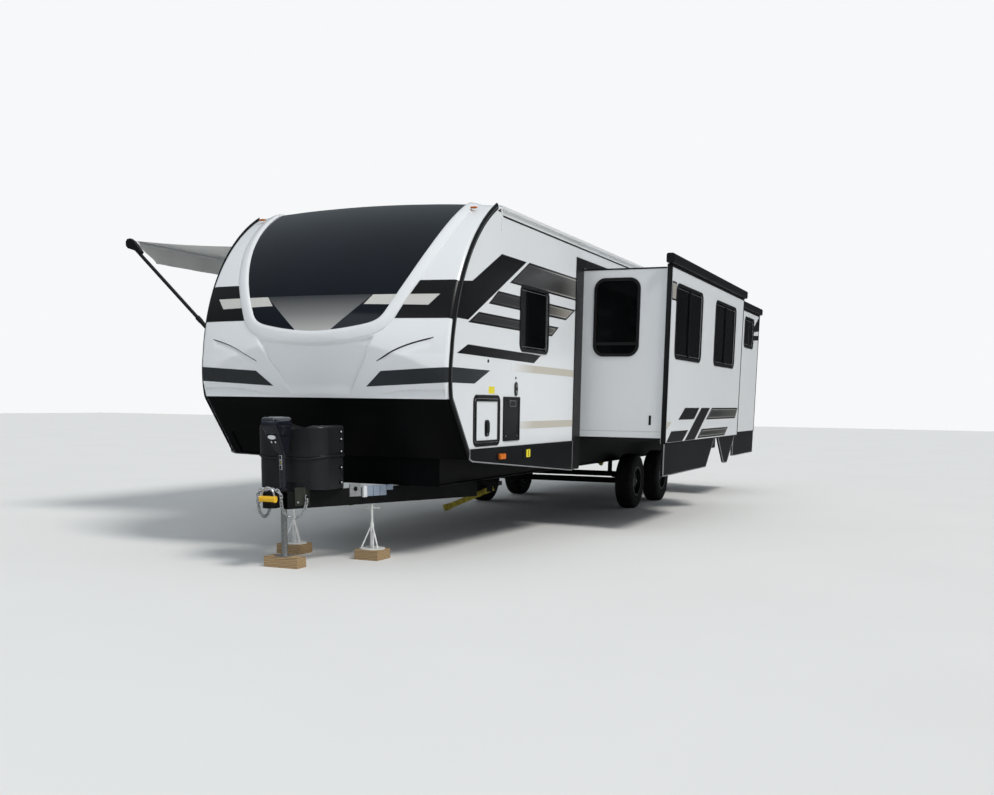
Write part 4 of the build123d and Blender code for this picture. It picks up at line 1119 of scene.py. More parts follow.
# %% Wall stripes
FILM = 0.0009
BORDER = 0.018
LINE = 0.009
fade_finish("film_line", "Y", 1.6, 6.0, [
    (0.0, (0.045, 0.046, 0.048)), (0.25, (0.10, 0.10, 0.10)), (0.5, (0.50, 0.49, 0.46)),
    (0.9, (0.28, 0.28, 0.26))], 0.34)
fade_finish("film_fade", "Y", 2.4, 3.9, [
    (0.0, (0.020, 0.020, 0.022)), (0.45, (0.07, 0.068, 0.064)), (0.75, (0.26, 0.24, 0.21)),
    (1.0, (0.40, 0.37, 0.33))])
fade_finish("film_top_fade", "Y", 2.2, 3.9, [
    (0.0, (0.024, 0.024, 0.025)), (0.4, (0.055, 0.055, 0.055)), (0.7, (0.045, 0.044, 0.042)),
    (1.0, (0.135, 0.130, 0.120))])
fade_finish("film_sand", "Y", 2.10, 2.70, [(0.0, WHITE), (1.0, (0.56, 0.52, 0.45))], 0.38)
fade_finish("film_slide_fade", "Y", 5.7, 8.1, [
    (0.0, (0.020, 0.020, 0.022)), (0.5, (0.045, 0.047, 0.044)), (1.0, (0.105, 0.105, 0.095))])
plain_finish("film_tan", (0.56, 0.52, 0.45), 0.38, blotch=1.5, spread=0.03, grain=3.0,
             grain_strength=0.02)
PANE_FRONT, PANE_BACK = 2.335, 3.041     # a little inside the frame, which hides the film's end

WALL_FILMS = [
    # fill, border or none, corners on the wall as (station, height)
    ("film_black", None, [(seam_y(2.34), 2.34), (1.22, 2.36), (1.85, 2.65), (2.45, 2.65), (1.14, 2.04),
                          (seam_y(2.04), 2.04)]),
    ("film_top_fade", "film_black", [(2.525, 2.653), (3.93, 2.653), (3.93, 2.425), (2.045, 2.425)]),
    ("film_fade", "film_black", [(1.78, 2.33), (PANE_FRONT, 2.33), (PANE_FRONT, 2.205), (1.57, 2.205)]),
    ("film_fade", "film_black", [(PANE_BACK, 2.33), (3.89, 2.33), (3.59, 2.205), (PANE_BACK, 2.205)]),
    ("film_fade", "film_black", [(1.36, 2.12), (PANE_FRONT, 2.12), (PANE_FRONT, 2.02), (1.14, 2.02)]),
    ("film_fade", "film_black", [(PANE_BACK, 2.12), (3.38, 2.12), (3.18, 2.02), (PANE_BACK, 2.02)]),
    ("film_black", None, [(1.14, 1.84), (2.88, 1.82), (2.69, 1.74), (0.92, 1.76)]),
    ("film_grey", None, [(seam_y(1.645), 1.645), (1.62, 1.64), (1.28, 1.52), (seam_y(1.52), 1.52)]),
    ("film_sand", None, [(2.12, 1.72), (3.88, 1.71), (3.88, 1.64), (2.12, 1.65)]),
    ("film_sand", None, [(2.33, 1.19), (3.88, 1.19), (3.88, 1.12), (2.36, 1.12)]),
]
SLIDE_FILMS = [
    ("film_black", None, [(4.96, 1.33), (5.69, 1.33), (5.43, 1.20), (4.66, 1.20)]),
    ("film_black", None, [(5.81, 1.33), (6.29, 1.33), (5.51, 0.965), (5.01, 0.965)]),
    ("film_slide_fade", "film_black", [(6.40, 1.33), (8.10, 1.33), (7.93, 1.19), (6.09, 1.19)]),
    ("film_black", None, [(4.36, 1.08), (5.16, 1.08), (4.90, 0.965), (4.16, 0.965)]),
    ("film_slide_fade", "film_black", [(5.87, 1.08), (7.48, 1.08), (7.27, 0.975), (5.65, 0.975)]),
    ("film_fade", "film_black", [(4.15, 2.63), (4.34, 2.63), (4.34, 2.44), (4.15, 2.44)]),
    ("film_tan", None, [(4.15, 1.18), (4.36, 1.18), (4.15, 1.10)]),
]
REAR_FILMS = [
    ("film_black", None, [(10.58, 2.55), (11.09, 2.775), (11.09, 2.54), (10.60, 2.50)]),
    ("film_black", None, [(10.62, 2.445), (11.09, 2.475), (11.09, 2.40), (10.65, 2.375)]),
]


def wall_film(bm, names, x, rows):
    """Cuts every row's film and lays it on a wall that faces out of plane x."""
    way = 1 if x > 0 else -1
    for fill, border, corners in rows:
        verts = [bm.verts.new(at(x + way * FILM, y, h)) for y, h in corners]
        face = bm.faces.new(verts)
        face.normal_update()
        face.material_index = names.index(fill)
        for tone, width in ((border, BORDER), ("film_line", LINE)) if border else ():
            rim = bmesh.ops.inset_individual(bm, faces=[face], thickness=width, use_even_offset=True)
            for part in rim["faces"]:
                part.material_index = names.index(tone)
        edges = [edge for edge in bm.edges if set(edge.verts) <= set(verts)]
        draw_border(bm, edges, (-way * FILM, 0, 0))


def make_wall_films(name, x, rows, body):
    names = sorted({row[0] for row in rows} | {row[1] for row in rows if row[1]} | {"film_line"})
    bm = bmesh.new()
    wall_film(bm, names, x, rows)
    return make_piece(name, bm, names, body)


for row in (
        ("wall_stripes", HALF_WIDTH, WALL_FILMS, "trailer"),
        ("curb_stripes", -HALF_WIDTH, WALL_FILMS[:1] + WALL_FILMS[6:8], "trailer"),
        ("main_slide_stripes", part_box("main_slide_face")[1].x, SLIDE_FILMS, "main_slide"),
        ("rear_slide_stripes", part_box("rear_slide_face")[1].x, REAR_FILMS, "rear_slide")):
    print(row[0], len(make_wall_films(*row).data.polygons))

# %% [markdown]
# The faces of the slide-out rooms are edged with black extrusion: an angle that covers the
# panel's edge and laps a little onto its front. One function makes the four edgings of a face
# from the node's own box.

# %% Edging of the slide-out faces
EDGE_LAP, EDGE_TOP, EDGE_FOOT = 0.024, 0.030, 0.012
EDGE_HALF = 0.0035
EDGE_PROUD = 0.004
EDGE_SOFT = 0.0012


def make_edging(prefix):
    low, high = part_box(f"{prefix}_face")
    back, front = high.x - 0.001, high.x + EDGE_PROUD
    bm = bmesh.new()
    for y, way in ((low.y, 1), (high.y, -1)):
        box(bm, Vector((low.x + 0.004, y - EDGE_HALF, low.z)), Vector((front, y + EDGE_HALF, high.z)),
            EDGE_SOFT)
        box(bm, Vector((back, y, low.z)), Vector((front, y + way * EDGE_LAP, high.z)), EDGE_SOFT)
    box(bm, Vector((back, low.y, high.z - EDGE_TOP)), Vector((front, high.y, high.z)), EDGE_SOFT)
    box(bm, Vector((back, low.y, low.z)), Vector((front, high.y, low.z + EDGE_FOOT)), EDGE_SOFT)
    return make_piece(f"{prefix}_edging", bm, ["black_trim"], prefix)


for prefix in ("main_slide", "rear_slide"):
    print("edging faces", len(make_edging(prefix).data.polygons))

# %% [markdown]
# A white rail runs along each side under the roof edge: a hook-shaped gutter with a thin black
# strip below it, which is painted shadow cast by the gutter, and a short strip over the joint with
# the nose. Its section is swept straight back, so it is a plate with that outline.

# %% Gutter rails
GUTTER = [
    # out from the wall, height
    (0.000, 2.978), (0.006, 2.976), (0.008, 2.992), (0.012, 3.014), (0.030, 3.018), (0.031, 3.040),
    (0.027, 3.041), (0.026, 3.024), (0.012, 3.024), (0.010, 3.052), (-0.030, 3.060),
    (-0.030, 3.050), (0.000, 3.044)]
GUTTER_Y = CAP_BACK_Y - 0.02
# stations, heights and thickness of the black strip painted as the gutter's shadow
SHADOW_YS, SHADOW_HS, SHADOW_T = (CAP_BACK_Y + 0.02, REAR_Y - 0.01), (2.962, 2.975), 0.0024
STRIP_YS, STRIP_HS, STRIP_HALF = (CAP_BACK_Y - 0.03, CAP_BACK_Y - 0.018), (2.84, 3.04), 0.004


def make_gutters():
    bm = bmesh.new()
    for side in (ROAD, CURB):
        wall = side * HALF_WIDTH
        corners = [at(side * (HALF_WIDTH + out), GUTTER_Y, height) for out, height in GUTTER]
        plate(bm, corners, Vector((0, REAR_Y - GUTTER_Y, 0)))
        # the black strip under the gutter: painted shadow
        ends = zip((wall, wall + side * SHADOW_T), SHADOW_YS, SHADOW_HS)
        box(bm, *(at(*corner) for corner in ends), 0, 1)
        ends = zip((wall - STRIP_HALF, wall + STRIP_HALF), STRIP_YS, STRIP_HS)
        box(bm, *(at(*corner) for corner in ends), 0.001)
    return make_piece("gutter_rails", bm, ["white_metal", "black_trim"], "trailer")


gutters = make_gutters()
print("gutter faces", len(gutters.data.polygons))

# %% [markdown]
# Small fittings on the walls are plates with rounded corners, and frames between two such
# outlines. Both are measured as station and height on a wall that stands at one distance out.

# %% Helpers for wall fittings
def rounded(ys, hs, radius, steps=6):
    """The outline of a rounded rectangle as (station, height)."""
    middles = [(ys[1] - radius, hs[1] - radius, 0), (ys[0] + radius, hs[1] - radius, 90),
               (ys[0] + radius, hs[0] + radius, 180), (ys[1] - radius, hs[0] + radius, 270)]
    turns = [(y, h, radians(start + 90 * step / steps))
             for y, h, start in middles for step in range(steps + 1)]
    return [(y + radius * cos(turn), h + radius * sin(turn)) for y, h, turn in turns]


def wall_plate(bm, x, ys, hs, radius, out, material=0):
    """A rounded plate that stands out from the wall at x."""
    way = 1 if x > 0 else -1
    corners = [at(x, y, h) for y, h in rounded(ys, hs, radius)]
    plate(bm, corners, Vector((way * out, 0, 0)), material)


def wall_frame(bm, x, ys, hs, radius, width, out, material=0, chamfer=0.002, flat=1.0):
    """A rounded frame on the wall at x with chamfered edges; flat thins its top and bottom."""
    way = 1 if x > 0 else -1
    shoulder = out - chamfer
    section = [(0, 0), (0, shoulder), (chamfer, out), (width - chamfer, out), (width, shoulder),
               (width, 0)]
    rings = []
    for inset, proud in section:
        across, up = (ys[0] + inset, ys[1] - inset), (hs[0] + inset * flat, hs[1] - inset * flat)
        corners = rounded(across, up, max(radius - inset, 0.004))
        rings.append([bm.verts.new(at(x + way * proud, y, h)) for y, h in corners])
    count = len(rings[0])
    for ring, following in zip(rings, rings[1:] + rings[:1]):
        for index in range(count):
            other = (index + 1) % count
            face = bm.faces.new((ring[index], ring[other], following[other], following[index]))
            face.material_index = material


def wall_rows(bm, x, slots, frames, plates):
    """Lays rows of frames and plates on the wall at x. Each row ends with its finish."""
    for *measures, finish in frames:
        wall_frame(bm, x, *measures, slots.index(finish))
    for *measures, finish in plates:
        wall_plate(bm, x, *measures, slots.index(finish))


print("wall fitting helpers ready")

# %% [markdown]
# On the road-side wall the photograph shows an access panel with its latch, an oval inlet, a
# blank yellow label and two small studs. An amber marker and a spirit level sit on the skirt,
# and an amber lamp on each top corner of the nose. The labels stay bare.

# %% Road-side fittings
plain_finish("label_yellow", (0.86, 0.74, 0.03), 0.45, blotch=9.0, spread=0.05, grain=90.0,
             grain_strength=0.03)
plain_finish("edge_metal", (0.17, 0.175, 0.18), 0.36, 0.3, blotch=5.0, spread=0.1, grain=200.0,
             grain_strength=0.05)
SKIRT_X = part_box("skirts")[1].x
FITTING_SLOTS = ["black_trim", "edge_metal", "label_yellow", "lamp_amber", "bright_zinc", "white_metal"]
ROAD_FRAMES = [
    # stations, heights, corner radius, width, out, finish
    ((1.925, 2.322), (1.016, 1.416), 0.012, 0.014, 0.012, "black_trim"),       # access panel
    ((2.066, 2.219), (1.326, 1.384), 0.012, 0.008, 0.0135, "edge_metal")]      # its latch
ROAD_PLATES = [
    # stations, heights, corner radius, out, finish
    ((2.082, 2.203), (1.338, 1.372), 0.008, 0.0115, "black_trim"),             # its latch
    ((1.977, 1.993), (1.052, 1.068), 0.0079, 0.0125, "bright_zinc"),           # its screws
    ((2.247, 2.263), (1.052, 1.068), 0.0079, 0.0125, "bright_zinc"),
    ((2.188, 2.272), (1.425, 1.555), 0.041, 0.006, "edge_metal"),              # oval inlet
    ((2.194, 2.266), (1.431, 1.549), 0.035, 0.009, "black_trim"),
    ((2.215, 2.245), (1.447, 1.477), 0.0149, 0.013, "bright_zinc"),
    ((2.215, 2.245), (1.502, 1.532), 0.0149, 0.013, "bright_zinc"),
    ((1.580, 1.730), (1.436, 1.542), 0.003, 0.0006, "white_metal"),            # label
    ((1.588, 1.722), (1.441, 1.502), 0.003, 0.0009, "label_yellow"),
    ((1.555, 1.583), (1.705, 1.733), 0.01386, 0.006, "black_trim"),            # studs
    ((2.213, 2.233), (1.580, 1.600), 0.0099, 0.006, "black_trim")]
SKIRT_PLATES = [
    # the same, on the skirt
    ((1.775, 1.945), (0.850, 0.914), 0.012, 0.006, "black_trim"),              # marker
    ((1.808, 1.936), (0.857, 0.907), 0.012, 0.024, "lamp_amber"),
    ((2.420, 2.602), (0.842, 0.930), 0.010, 0.005, "black_trim"),              # spirit level
    ((2.496, 2.592), (0.849, 0.923), 0.008, 0.009, "label_yellow"),
    ((2.539, 2.549), (0.855, 0.917), 0.003, 0.0105, "black_trim")]
TOP_LAMP_X = 1.076
TOP_LAMP = [(-0.030, 1.543, 2.994), (0.030, 1.571, 3.010)]     # two corners of a lamp on the nose


def make_road_fittings():
    bm = bmesh.new()
    wall_rows(bm, HALF_WIDTH, FITTING_SLOTS, ROAD_FRAMES, ROAD_PLATES)
    wall_rows(bm, SKIRT_X, FITTING_SLOTS, [], SKIRT_PLATES)
    for side in (ROAD, CURB):
        low, high = (at(side * (TOP_LAMP_X + half), y, h) for half, y, h in TOP_LAMP)
        box(bm, low, high, 0.006, FITTING_SLOTS.index("lamp_amber"))
    return make_piece("road_fittings", bm, FITTING_SLOTS, "trailer")


print("road fitting faces", len(make_road_fittings().data.polygons))

# %% [markdown]
# Each baggage door has a wide black rim with rounded corners, a black cover strip over its
# hinge, and a paddle latch with a lock.

# %% Baggage door dressing
LEAF_X = HALF_WIDTH + 0.002
LEAF_YS, LEAF_HS = (1.2925, 1.8175), (1.0195, 1.3925)
STRIP = [(1.2215, 1.330, 1.3725), (1.2305, 1.780, 1.3945)]     # two corners of the cover strip
HINGE, HINGE_R = [(1.232, 1.333, 1.404), (1.232, 1.777, 1.404)], 0.0068
DOOR_SLOTS = ["black_trim", "bright_zinc"]
LATCH_PLATES = [
    # stations, heights, corner radius, out, finish
    ((1.505, 1.601), (1.070, 1.212), 0.030, 0.007, "black_trim"),
    ((1.519, 1.587), (1.098, 1.198), 0.020, 0.016, "black_trim"),              # paddle
    ((1.541, 1.565), (1.076, 1.096), 0.0099, 0.011, "bright_zinc")]            # lock


def make_baggage_dressing(name, side):
    bm = bmesh.new()
    wall_frame(bm, side * LEAF_X, LEAF_YS, LEAF_HS, 0.034, 0.028, 0.007, chamfer=0.0035, flat=0.6)
    box(bm, *(at(side * x, y, h) for x, y, h in STRIP), 0.002)
    bar(bm, *(at(side * x, y, h) for x, y, h in HINGE), HINGE_R, 12)
    wall_rows(bm, side * LEAF_X, DOOR_SLOTS, [], LATCH_PLATES)
    return make_piece(f"{name}_dressing", bm, DOOR_SLOTS, name)


for name, side in (("baggage_door_road", ROAD), ("baggage_door_curb", CURB)):
    print(name, "dressing faces", len(make_baggage_dressing(name, side).data.polygons))

# %% [markdown]
# The underside is closed by black sheet: one below the deck, which also laps up its edge in
# the slide-out bays, and one below each slide-out room. The front end wall of the big room has
# a black angle along its foot, a faint seam and a small dark slot.

# %% Underside sheets
SHEET_T = 0.002
ANGLE_T = 0.003
FOOT_INSET = 0.06
SEAM_HS = (1.075, 1.079)
deck_low, deck_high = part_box("floor")


def make_belly():
    bm = bmesh.new()
    box(bm, Vector((deck_low.x - SHEET_T, deck_low.y, deck_low.z - SHEET_T)),
        Vector((deck_high.x + SHEET_T, deck_high.y, deck_low.z)))
    for x in (deck_low.x - SHEET_T, deck_high.x):
        box(bm, Vector((x, deck_low.y, deck_low.z)), Vector((x + SHEET_T, deck_high.y, deck_high.z)))
    return make_piece("belly_sheet", bm, ["frame_black"], "trailer")


def make_room_foot(prefix, seam):
    low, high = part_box(f"{prefix}_box")
    bm = bmesh.new()
    box(bm, Vector((low.x, low.y, low.z - SHEET_T)), Vector((high.x, high.y, low.z - 0.0002)))
    start = low.x + FOOT_INSET
    for y, way in ((low.y, -1), (high.y, 1)):
        out = y + way * ANGLE_T
        box(bm, Vector((start, y, low.z - SHEET_T)), Vector((high.x, out, low.z + 0.014)), 0.0008)
        box(bm, Vector((start, y, high.z - 0.016)), Vector((high.x, out, high.z)), 0.0008)
        if seam:
            box(bm, at(start, y, SEAM_HS[0]), at(high.x, y + way * 0.0012, SEAM_HS[1]), 0, 1)
    if seam:
        box(bm, at(1.994, low.y - 0.003, 1.147), at(2.020, low.y, 1.247), 0.0012)
    return make_piece(f"{prefix}_foot", bm, ["frame_black", "film_line"], prefix)


print("belly faces", len(make_belly().data.polygons))
for prefix, seam in (("main_slide", True), ("rear_slide", False)):
    print(prefix, "foot faces", len(make_room_foot(prefix, seam).data.polygons))

# %% [markdown]
# A bright lip runs along the lower edge of every skirt and round the wheel arches. Its path is
# read from the CAD skirt itself: every edge of the outer face, apart from the top one.

# %% Skirt lips
LIP_R = 0.0065
plain_finish("lip_metal", (0.36, 0.37, 0.38), 0.34, 0.3, blotch=5.0, spread=0.1, grain=200.0,
             grain_strength=0.05)


def outer_edges(node, way):
    """End points of the edges round the outward faces of a CAD node, apart from the top edge."""
    bm = bmesh.new()
    bm.from_mesh(frame["nodes"][node].data)
    bmesh.ops.remove_doubles(bm, verts=bm.verts, dist=0.0001)
    bmesh.ops.dissolve_limit(bm, angle_limit=radians(2), verts=bm.verts, edges=bm.edges)
    top = max(vertex.co.z for vertex in bm.verts)
    ends = []
    for edge in bm.edges:
        facing = [face.normal.x * way > 0.9 for face in edge.link_faces]
        if any(facing) and not all(facing) and min(vertex.co.z for vertex in edge.verts) < top - 0.02:
            ends.append([vertex.co.copy() for vertex in edge.verts])
    bm.free()
    return ends


def make_lips(name, node, body, ways):
    bm = bmesh.new()
    for way in ways:
        for start, end in outer_edges(node, way):
            if (end - start).length > 0.004:
                inside = Vector((way * LIP_R * 0.6, 0, 0))
                bar(bm, start - inside, end - inside, LIP_R, 8)
    return make_piece(name, bm, ["lip_metal"], body)


for name, node, body, ways in [
        ("skirt_lips", "skirts", "trailer", (ROAD, CURB)),
        ("main_slide_lips", "main_slide_skirt", "main_slide", (ROAD,)),
        ("rear_slide_lips", "rear_slide_skirt", "rear_slide", (ROAD,))]:
    print(name, len(make_lips(name, node, body, ways).data.polygons))

# %% [markdown]
# A tyre is a profile turned about the axle. Rows in the profile sink for the grooves round the
# tread, and every pitch has two columns that sink for the slots across the shoulders.

# %% Tyres
AXLES = {"front": 6.780, "rear": 8.110}
AXLE_H = 0.357
WHEEL_X = 1.057
PITCHES = 66
PITCH_PARTS = (0.0, 0.66, 0.73, 0.93)
TYRE_HALF = [
    # from the middle of the tread to the bead: distance, radius, depth of the slots across
    (0.000, 0.3510, 0), (0.0035, 0.3510, 0), (0.0050, 0.3588, 0), (0.0100, 0.3588, 0),
    (0.0115, 0.3588, 0.004), (0.0290, 0.3586, 0.004), (0.0305, 0.3586, 0), (0.0345, 0.3585, 0),
    (0.0360, 0.3505, 0), (0.0430, 0.3500, 0), (0.0445, 0.3580, 0), (0.0560, 0.3574, 0),
    (0.0620, 0.3568, 0.007), (0.0780, 0.3540, 0.008), (0.0900, 0.3488, 0.008),
    (0.0985, 0.3400, 0.006), (0.1035, 0.3280, 0.004), (0.1060, 0.3200, 0), (0.1078, 0.3190, 0),
    (0.1100, 0.3080, 0), (0.1122, 0.2950, 0), (0.1128, 0.2780, 0), (0.1135, 0.2765, 0),
    (0.1135, 0.2720, 0), (0.1128, 0.2705, 0), (0.1126, 0.2450, 0), (0.1105, 0.2250, 0),
    (0.1085, 0.2130, 0), (0.1095, 0.2110, 0), (0.1080, 0.2020, 0), (0.1030, 0.1960, 0),
    (0.0970, 0.1905, 0)]


def about_axle(side, station, x, radius, turn):
    """A point beside the wheel's middle plane, at a radius and a turn about its axle."""
    return at(side * (WHEEL_X + x), station + radius * sin(turn), AXLE_H + radius * cos(turn))


def make_tyre(name, side, station):
    section = [(-x, r, cut) for x, r, cut in reversed(TYRE_HALF[1:])] + TYRE_HALF
    section.append(section[0])
    rows, columns = len(section) - 1, PITCHES * len(PITCH_PARTS)

    def place(u, v):
        x, radius, cut = section[round(v * rows)]
        pitch, part = divmod(round(u * columns), len(PITCH_PARTS))
        turn = (pitch + PITCH_PARTS[part]) / PITCHES * 2 * pi
        radius -= cut if part > 1 else 0
        return about_axle(side, station, x, radius, turn)

    bm = bmesh.new()
    formed_grid(bm, columns, rows, place)
    tyre = make_piece(f"tread_{name}", bm, ["tyre_rubber"], f"wheel_{name}",
                      weld=0.00005)
    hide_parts(f"tyre_{name}")
    return tyre


WHEELS = [(f"{word}_{end}", side, AXLES[end])
          for word, side in (("road", ROAD), ("curb", CURB)) for end in AXLES]
for name, side, station in WHEELS:
    print("tyre", name, len(make_tyre(name, side, station).data.polygons))

# %% [markdown]
# The cast wheels are black with machined faces on their spokes and lip. A bright cap covers
# the hub between six nuts.

# %% Wheel dressing
plain_finish("wheel_black", (0.010, 0.010, 0.011), 0.30, 0.2, blotch=8.0, spread=0.2, grain=240.0,
             grain_strength=0.05)
SPOKES = 10
SPOKE_FACE = [(0.070, 0.0076), (0.100, 0.0064), (0.150, 0.0082), (0.165, 0.0150)]
NUTS, NUT_RING = 6, 0.0565
STEM_RING, STEM_TURN = 0.160, 0.31
DISH_OUT, DISH_R, DISH_SLOPE = 0.062, 0.066, 0.1176
FACE_PROUD, FACE_T = 0.0010, 0.0022
LIP_FACE = [(0.1030, 0.1800), (0.1045, 0.1800), (0.1045, 0.1885), (0.1030, 0.1890)]
HUB_CAP = [
    # distance out, radius
    (0.0580, 0.0470), (0.0700, 0.0470), (0.0730, 0.0440), (0.0760, 0.0300), (0.0900, 0.0270),
    (0.0940, 0.0230), (0.0950, 0.0)]


def face_x(radius):
    """How far out the dished face of the wheel lies at a radius."""
    return WHEEL_X + DISH_OUT - (radius - DISH_R) * DISH_SLOPE + FACE_PROUD


def turned(bm, side, station, section, steps):
    """A section of (distance out, radius) turned about the axle."""
    rows = len(section) - 1

    def place(u, v):
        x, radius = section[round(v * rows)]
        return about_axle(side, station, x, radius, 2 * pi * u)

    formed_grid(bm, steps, rows, place)


def make_wheel_dressing(name, side, station):
    bm = bmesh.new()
    for spoke in range(SPOKES):
        turn = 2 * pi * (spoke + 0.5) / SPOKES
        out, wide = Vector((0, sin(turn), cos(turn))), Vector((0, cos(turn), -sin(turn)))
        middle = [at(side * face_x(r), station, AXLE_H) + out * r for r, half in SPOKE_FACE]
        right = [spot + wide * half for spot, (r, half) in zip(middle, SPOKE_FACE)]
        left = [spot - wide * half for spot, (r, half) in zip(middle, SPOKE_FACE)]
        plate(bm, right + left[::-1], Vector((-side * FACE_T, 0, 0)))
    turned(bm, side, station, LIP_FACE, 96)
    turned(bm, side, station, HUB_CAP, 48)
    for nut in range(NUTS):
        ends = [about_axle(side, station, x, NUT_RING, 2 * pi * nut / NUTS) for x in (0.060, 0.079)]
        bar(bm, *ends, 0.0082, 6, 1, 0.0068)
    stem = [about_axle(side, station, x, STEM_RING, STEM_TURN) for x in (0.052, 0.082)]
    bar(bm, *stem, 0.0042, 10, 2)
    piece = make_piece(f"wheel_face_{name}", bm, ["wheel_alloy", "bright_zinc", "black_trim"],
                       f"wheel_{name}", weld=0.00005)
    dress(frame["nodes"][f"rim_{name}"], finishes["wheel_black"])
    return piece


for name, side, station in WHEELS:
    print("wheel", name, len(make_wheel_dressing(name, side, station).data.polygons))

# %% [markdown]
# Each dark window has a thin bright line where the glass meets its frame, and the sliding ones
# a mullion in the middle. Both are read from the panes themselves: every loose part of a glass
# node is one pane.

# %% Window lines
LINE_INSET, LINE_R, LINE_W, LINE_OUT = 0.020, 0.040, 0.006, 0.0025
PANE_T = 0.03     # a pane that is thicker across than this faces forward and gets no line
MULLION = [(0.011, 0.0026, 1), (0.0045, 0.0046, 0)]     # half width, out, slot


def loose_parts(node):
    """The points of each separate solid of a CAD node."""
    bm = bmesh.new()
    bm.from_mesh(frame["nodes"][node].data)
    bmesh.ops.remove_doubles(bm, verts=bm.verts, dist=0.00005)
    waiting, parts = set(bm.verts), []
    while waiting:
        front, part = [waiting.pop()], []
        while front:
            vertex = front.pop()
            part.append(vertex.co.copy())
            for edge in vertex.link_edges:
                other = edge.other_vert(vertex)
                if other in waiting:
                    waiting.remove(other)
                    front.append(other)
        parts.append(part)
    bm.free()
    return parts


def make_window_lines(name, node, body, split):
    """Lines on every pane of a node; panes wider than split get a mullion."""
    bm = bmesh.new()
    for part in loose_parts(node):
        low, high = span(part)
        if high.x - low.x > PANE_T:
            continue
        side = ROAD if low.x > 0 else CURB
        x = high.x if side == ROAD else low.x
        ys = (low.y + LINE_INSET, high.y - LINE_INSET)
        hs = (low.z + BALL_HEIGHT + LINE_INSET, high.z + BALL_HEIGHT - LINE_INSET)
        wall_frame(bm, x, ys, hs, LINE_R, LINE_W, LINE_OUT, chamfer=0.0008)
        if ys[1] - ys[0] > split:
            middle = (ys[0] + ys[1]) / 2
            for half, out, material in MULLION:
                wall_plate(bm, x, (middle - half, middle + half), hs, 0.002, out, material)
    return make_piece(name, bm, ["edge_metal", "black_trim"], body)


WINDOW_ROWS = [
    # piece, glass node, body, widest pane without a mullion
    ("window_lines", "window_glass", "trailer", 0.72),
    ("main_slide_lines", "main_slide_glass", "main_slide", 0.30),
    ("rear_slide_lines", "rear_slide_glass", "rear_slide", 0.30)]
for row in WINDOW_ROWS:
    print(row[0], len(make_window_lines(*row).data.polygons))

# %% [markdown]
# The safety chains are wound from round wire. Each link follows one flat ring of the CAD chain:
# the spread of that ring's points gives its long way, its short way and its normal.

# %% Chain links
WIRE_R = 0.0043
LINK_R, LINK_STRAIGHT = 0.0123, 0.0068
WIRE_SIDES = 8
BEND_STEPS = 7


def link_line():
    """The middle line of a link as (along, across): two half circles and two straights."""
    line = []
    for end in (1, -1):
        for step in range(BEND_STEPS + 1):
            turn = radians(-90 + 180 * step / BEND_STEPS + (0 if end > 0 else 180))
            line.append((end * LINK_STRAIGHT + LINK_R * cos(turn), LINK_R * sin(turn)))
    return line


def swept(bm, points, radius, reference, sides=8, closed=False, material=0):
    """A round wire along points; the reference direction never runs along it."""
    count = len(points)
    steps = count if closed else count - 1

    def place(u, v):
        index = round(u * steps)
        before = points[(index - 1) % count] if closed else points[max(index - 1, 0)]
        after = points[(index + 1) % count] if closed else points[min(index + 1, steps)]
        along = (after - before).normalized()
        side = along.cross(reference).normalized()
        up = side.cross(along)
        return points[index % count] + (side * cos(2 * pi * v) + up * sin(2 * pi * v)) * radius

    formed_grid(bm, steps, sides, place, material)


def make_chains():
    bm = bmesh.new()
    for part in loose_parts("safety_chains"):
        cloud = np.array([tuple(point) for point in part])
        middle = cloud.mean(axis=0)
        ways = np.linalg.svd(cloud - middle)[2]
        along, across, normal = (Vector(way) for way in ways)
        points = [Vector(middle) + along * a + across * b for a, b in link_line()]
        swept(bm, points, WIRE_R, normal, WIRE_SIDES, closed=True)
    chains = make_piece("chain_links", bm, ["chain_zinc"], "trailer", weld=0.00002)
    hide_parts("safety_chains")
    return chains


plain_finish("chain_zinc", (0.72, 0.73, 0.75), 0.30, 0.75, blotch=60.0, spread=0.12, grain=400.0,
             grain_strength=0.08)
print("chain faces", len(make_chains().data.polygons))

# %% [markdown]
# The powered jack has a glossy domed cap over its motor, a brim, a sloping front panel with a
# white lamp lens and two switches, and a small three-part level on its tube.

# %% Jack dressing
plain_finish("jack_gloss", (0.012, 0.014, 0.021), 0.16, blotch=5.0, spread=0.2, grain=60.0,
             grain_strength=0.03, coat=(1.0, 0.05))
plain_finish("lens_white", (0.74, 0.76, 0.78), 0.18, blotch=20.0, spread=0.06, grain=40.0,
             grain_strength=0.05)
CAP_MIDDLE = at(0, 0.114, 1.166)
CAP_HALF = (0.0715, 0.1450, 0.0650)
CAP_STEPS, CAP_RINGS = 56, 12
CAP_DOME, CAP_CORNER = 0.667, 0.36     # powers under 1 fill out the dome and square its plan
BRIM_YS, BRIM_XS, BRIM_H, BRIM_T = (-0.031, 0.259), (-0.0745, 0.0745), 1.150, 0.013
LEVEL_H, LEVEL_STEP = 0.802, 0.041
JACK_SLOTS = ["jack_gloss", "lens_white", "black_trim", "white_metal", "label_yellow"]
FRONT_PANEL = [(-0.050, -0.084), (0.050, -0.084), (0.034, 0.070), (-0.034, 0.070)]
FRONT_OVALS = [
    # across, down, half sizes, out, finish
    (0.0, -0.064, (0.036, 0.020), 0.012, "lens_white"),
    (-0.018, -0.018, (0.011, 0.015), 0.011, "black_trim"),
    (-0.018, -0.018, (0.005, 0.009), 0.016, "white_metal"),
    (0.018, -0.018, (0.011, 0.015), 0.011, "black_trim"),
    (0.018, -0.018, (0.005, 0.009), 0.016, "white_metal")]
FRONT_MIDDLE = at(0, 0.0850, 1.0225)
FRONT_DOWN = Vector((0, 0.119, -0.154)).normalized()
FRONT_OUT = Vector((0, -0.154, -0.119)).normalized()


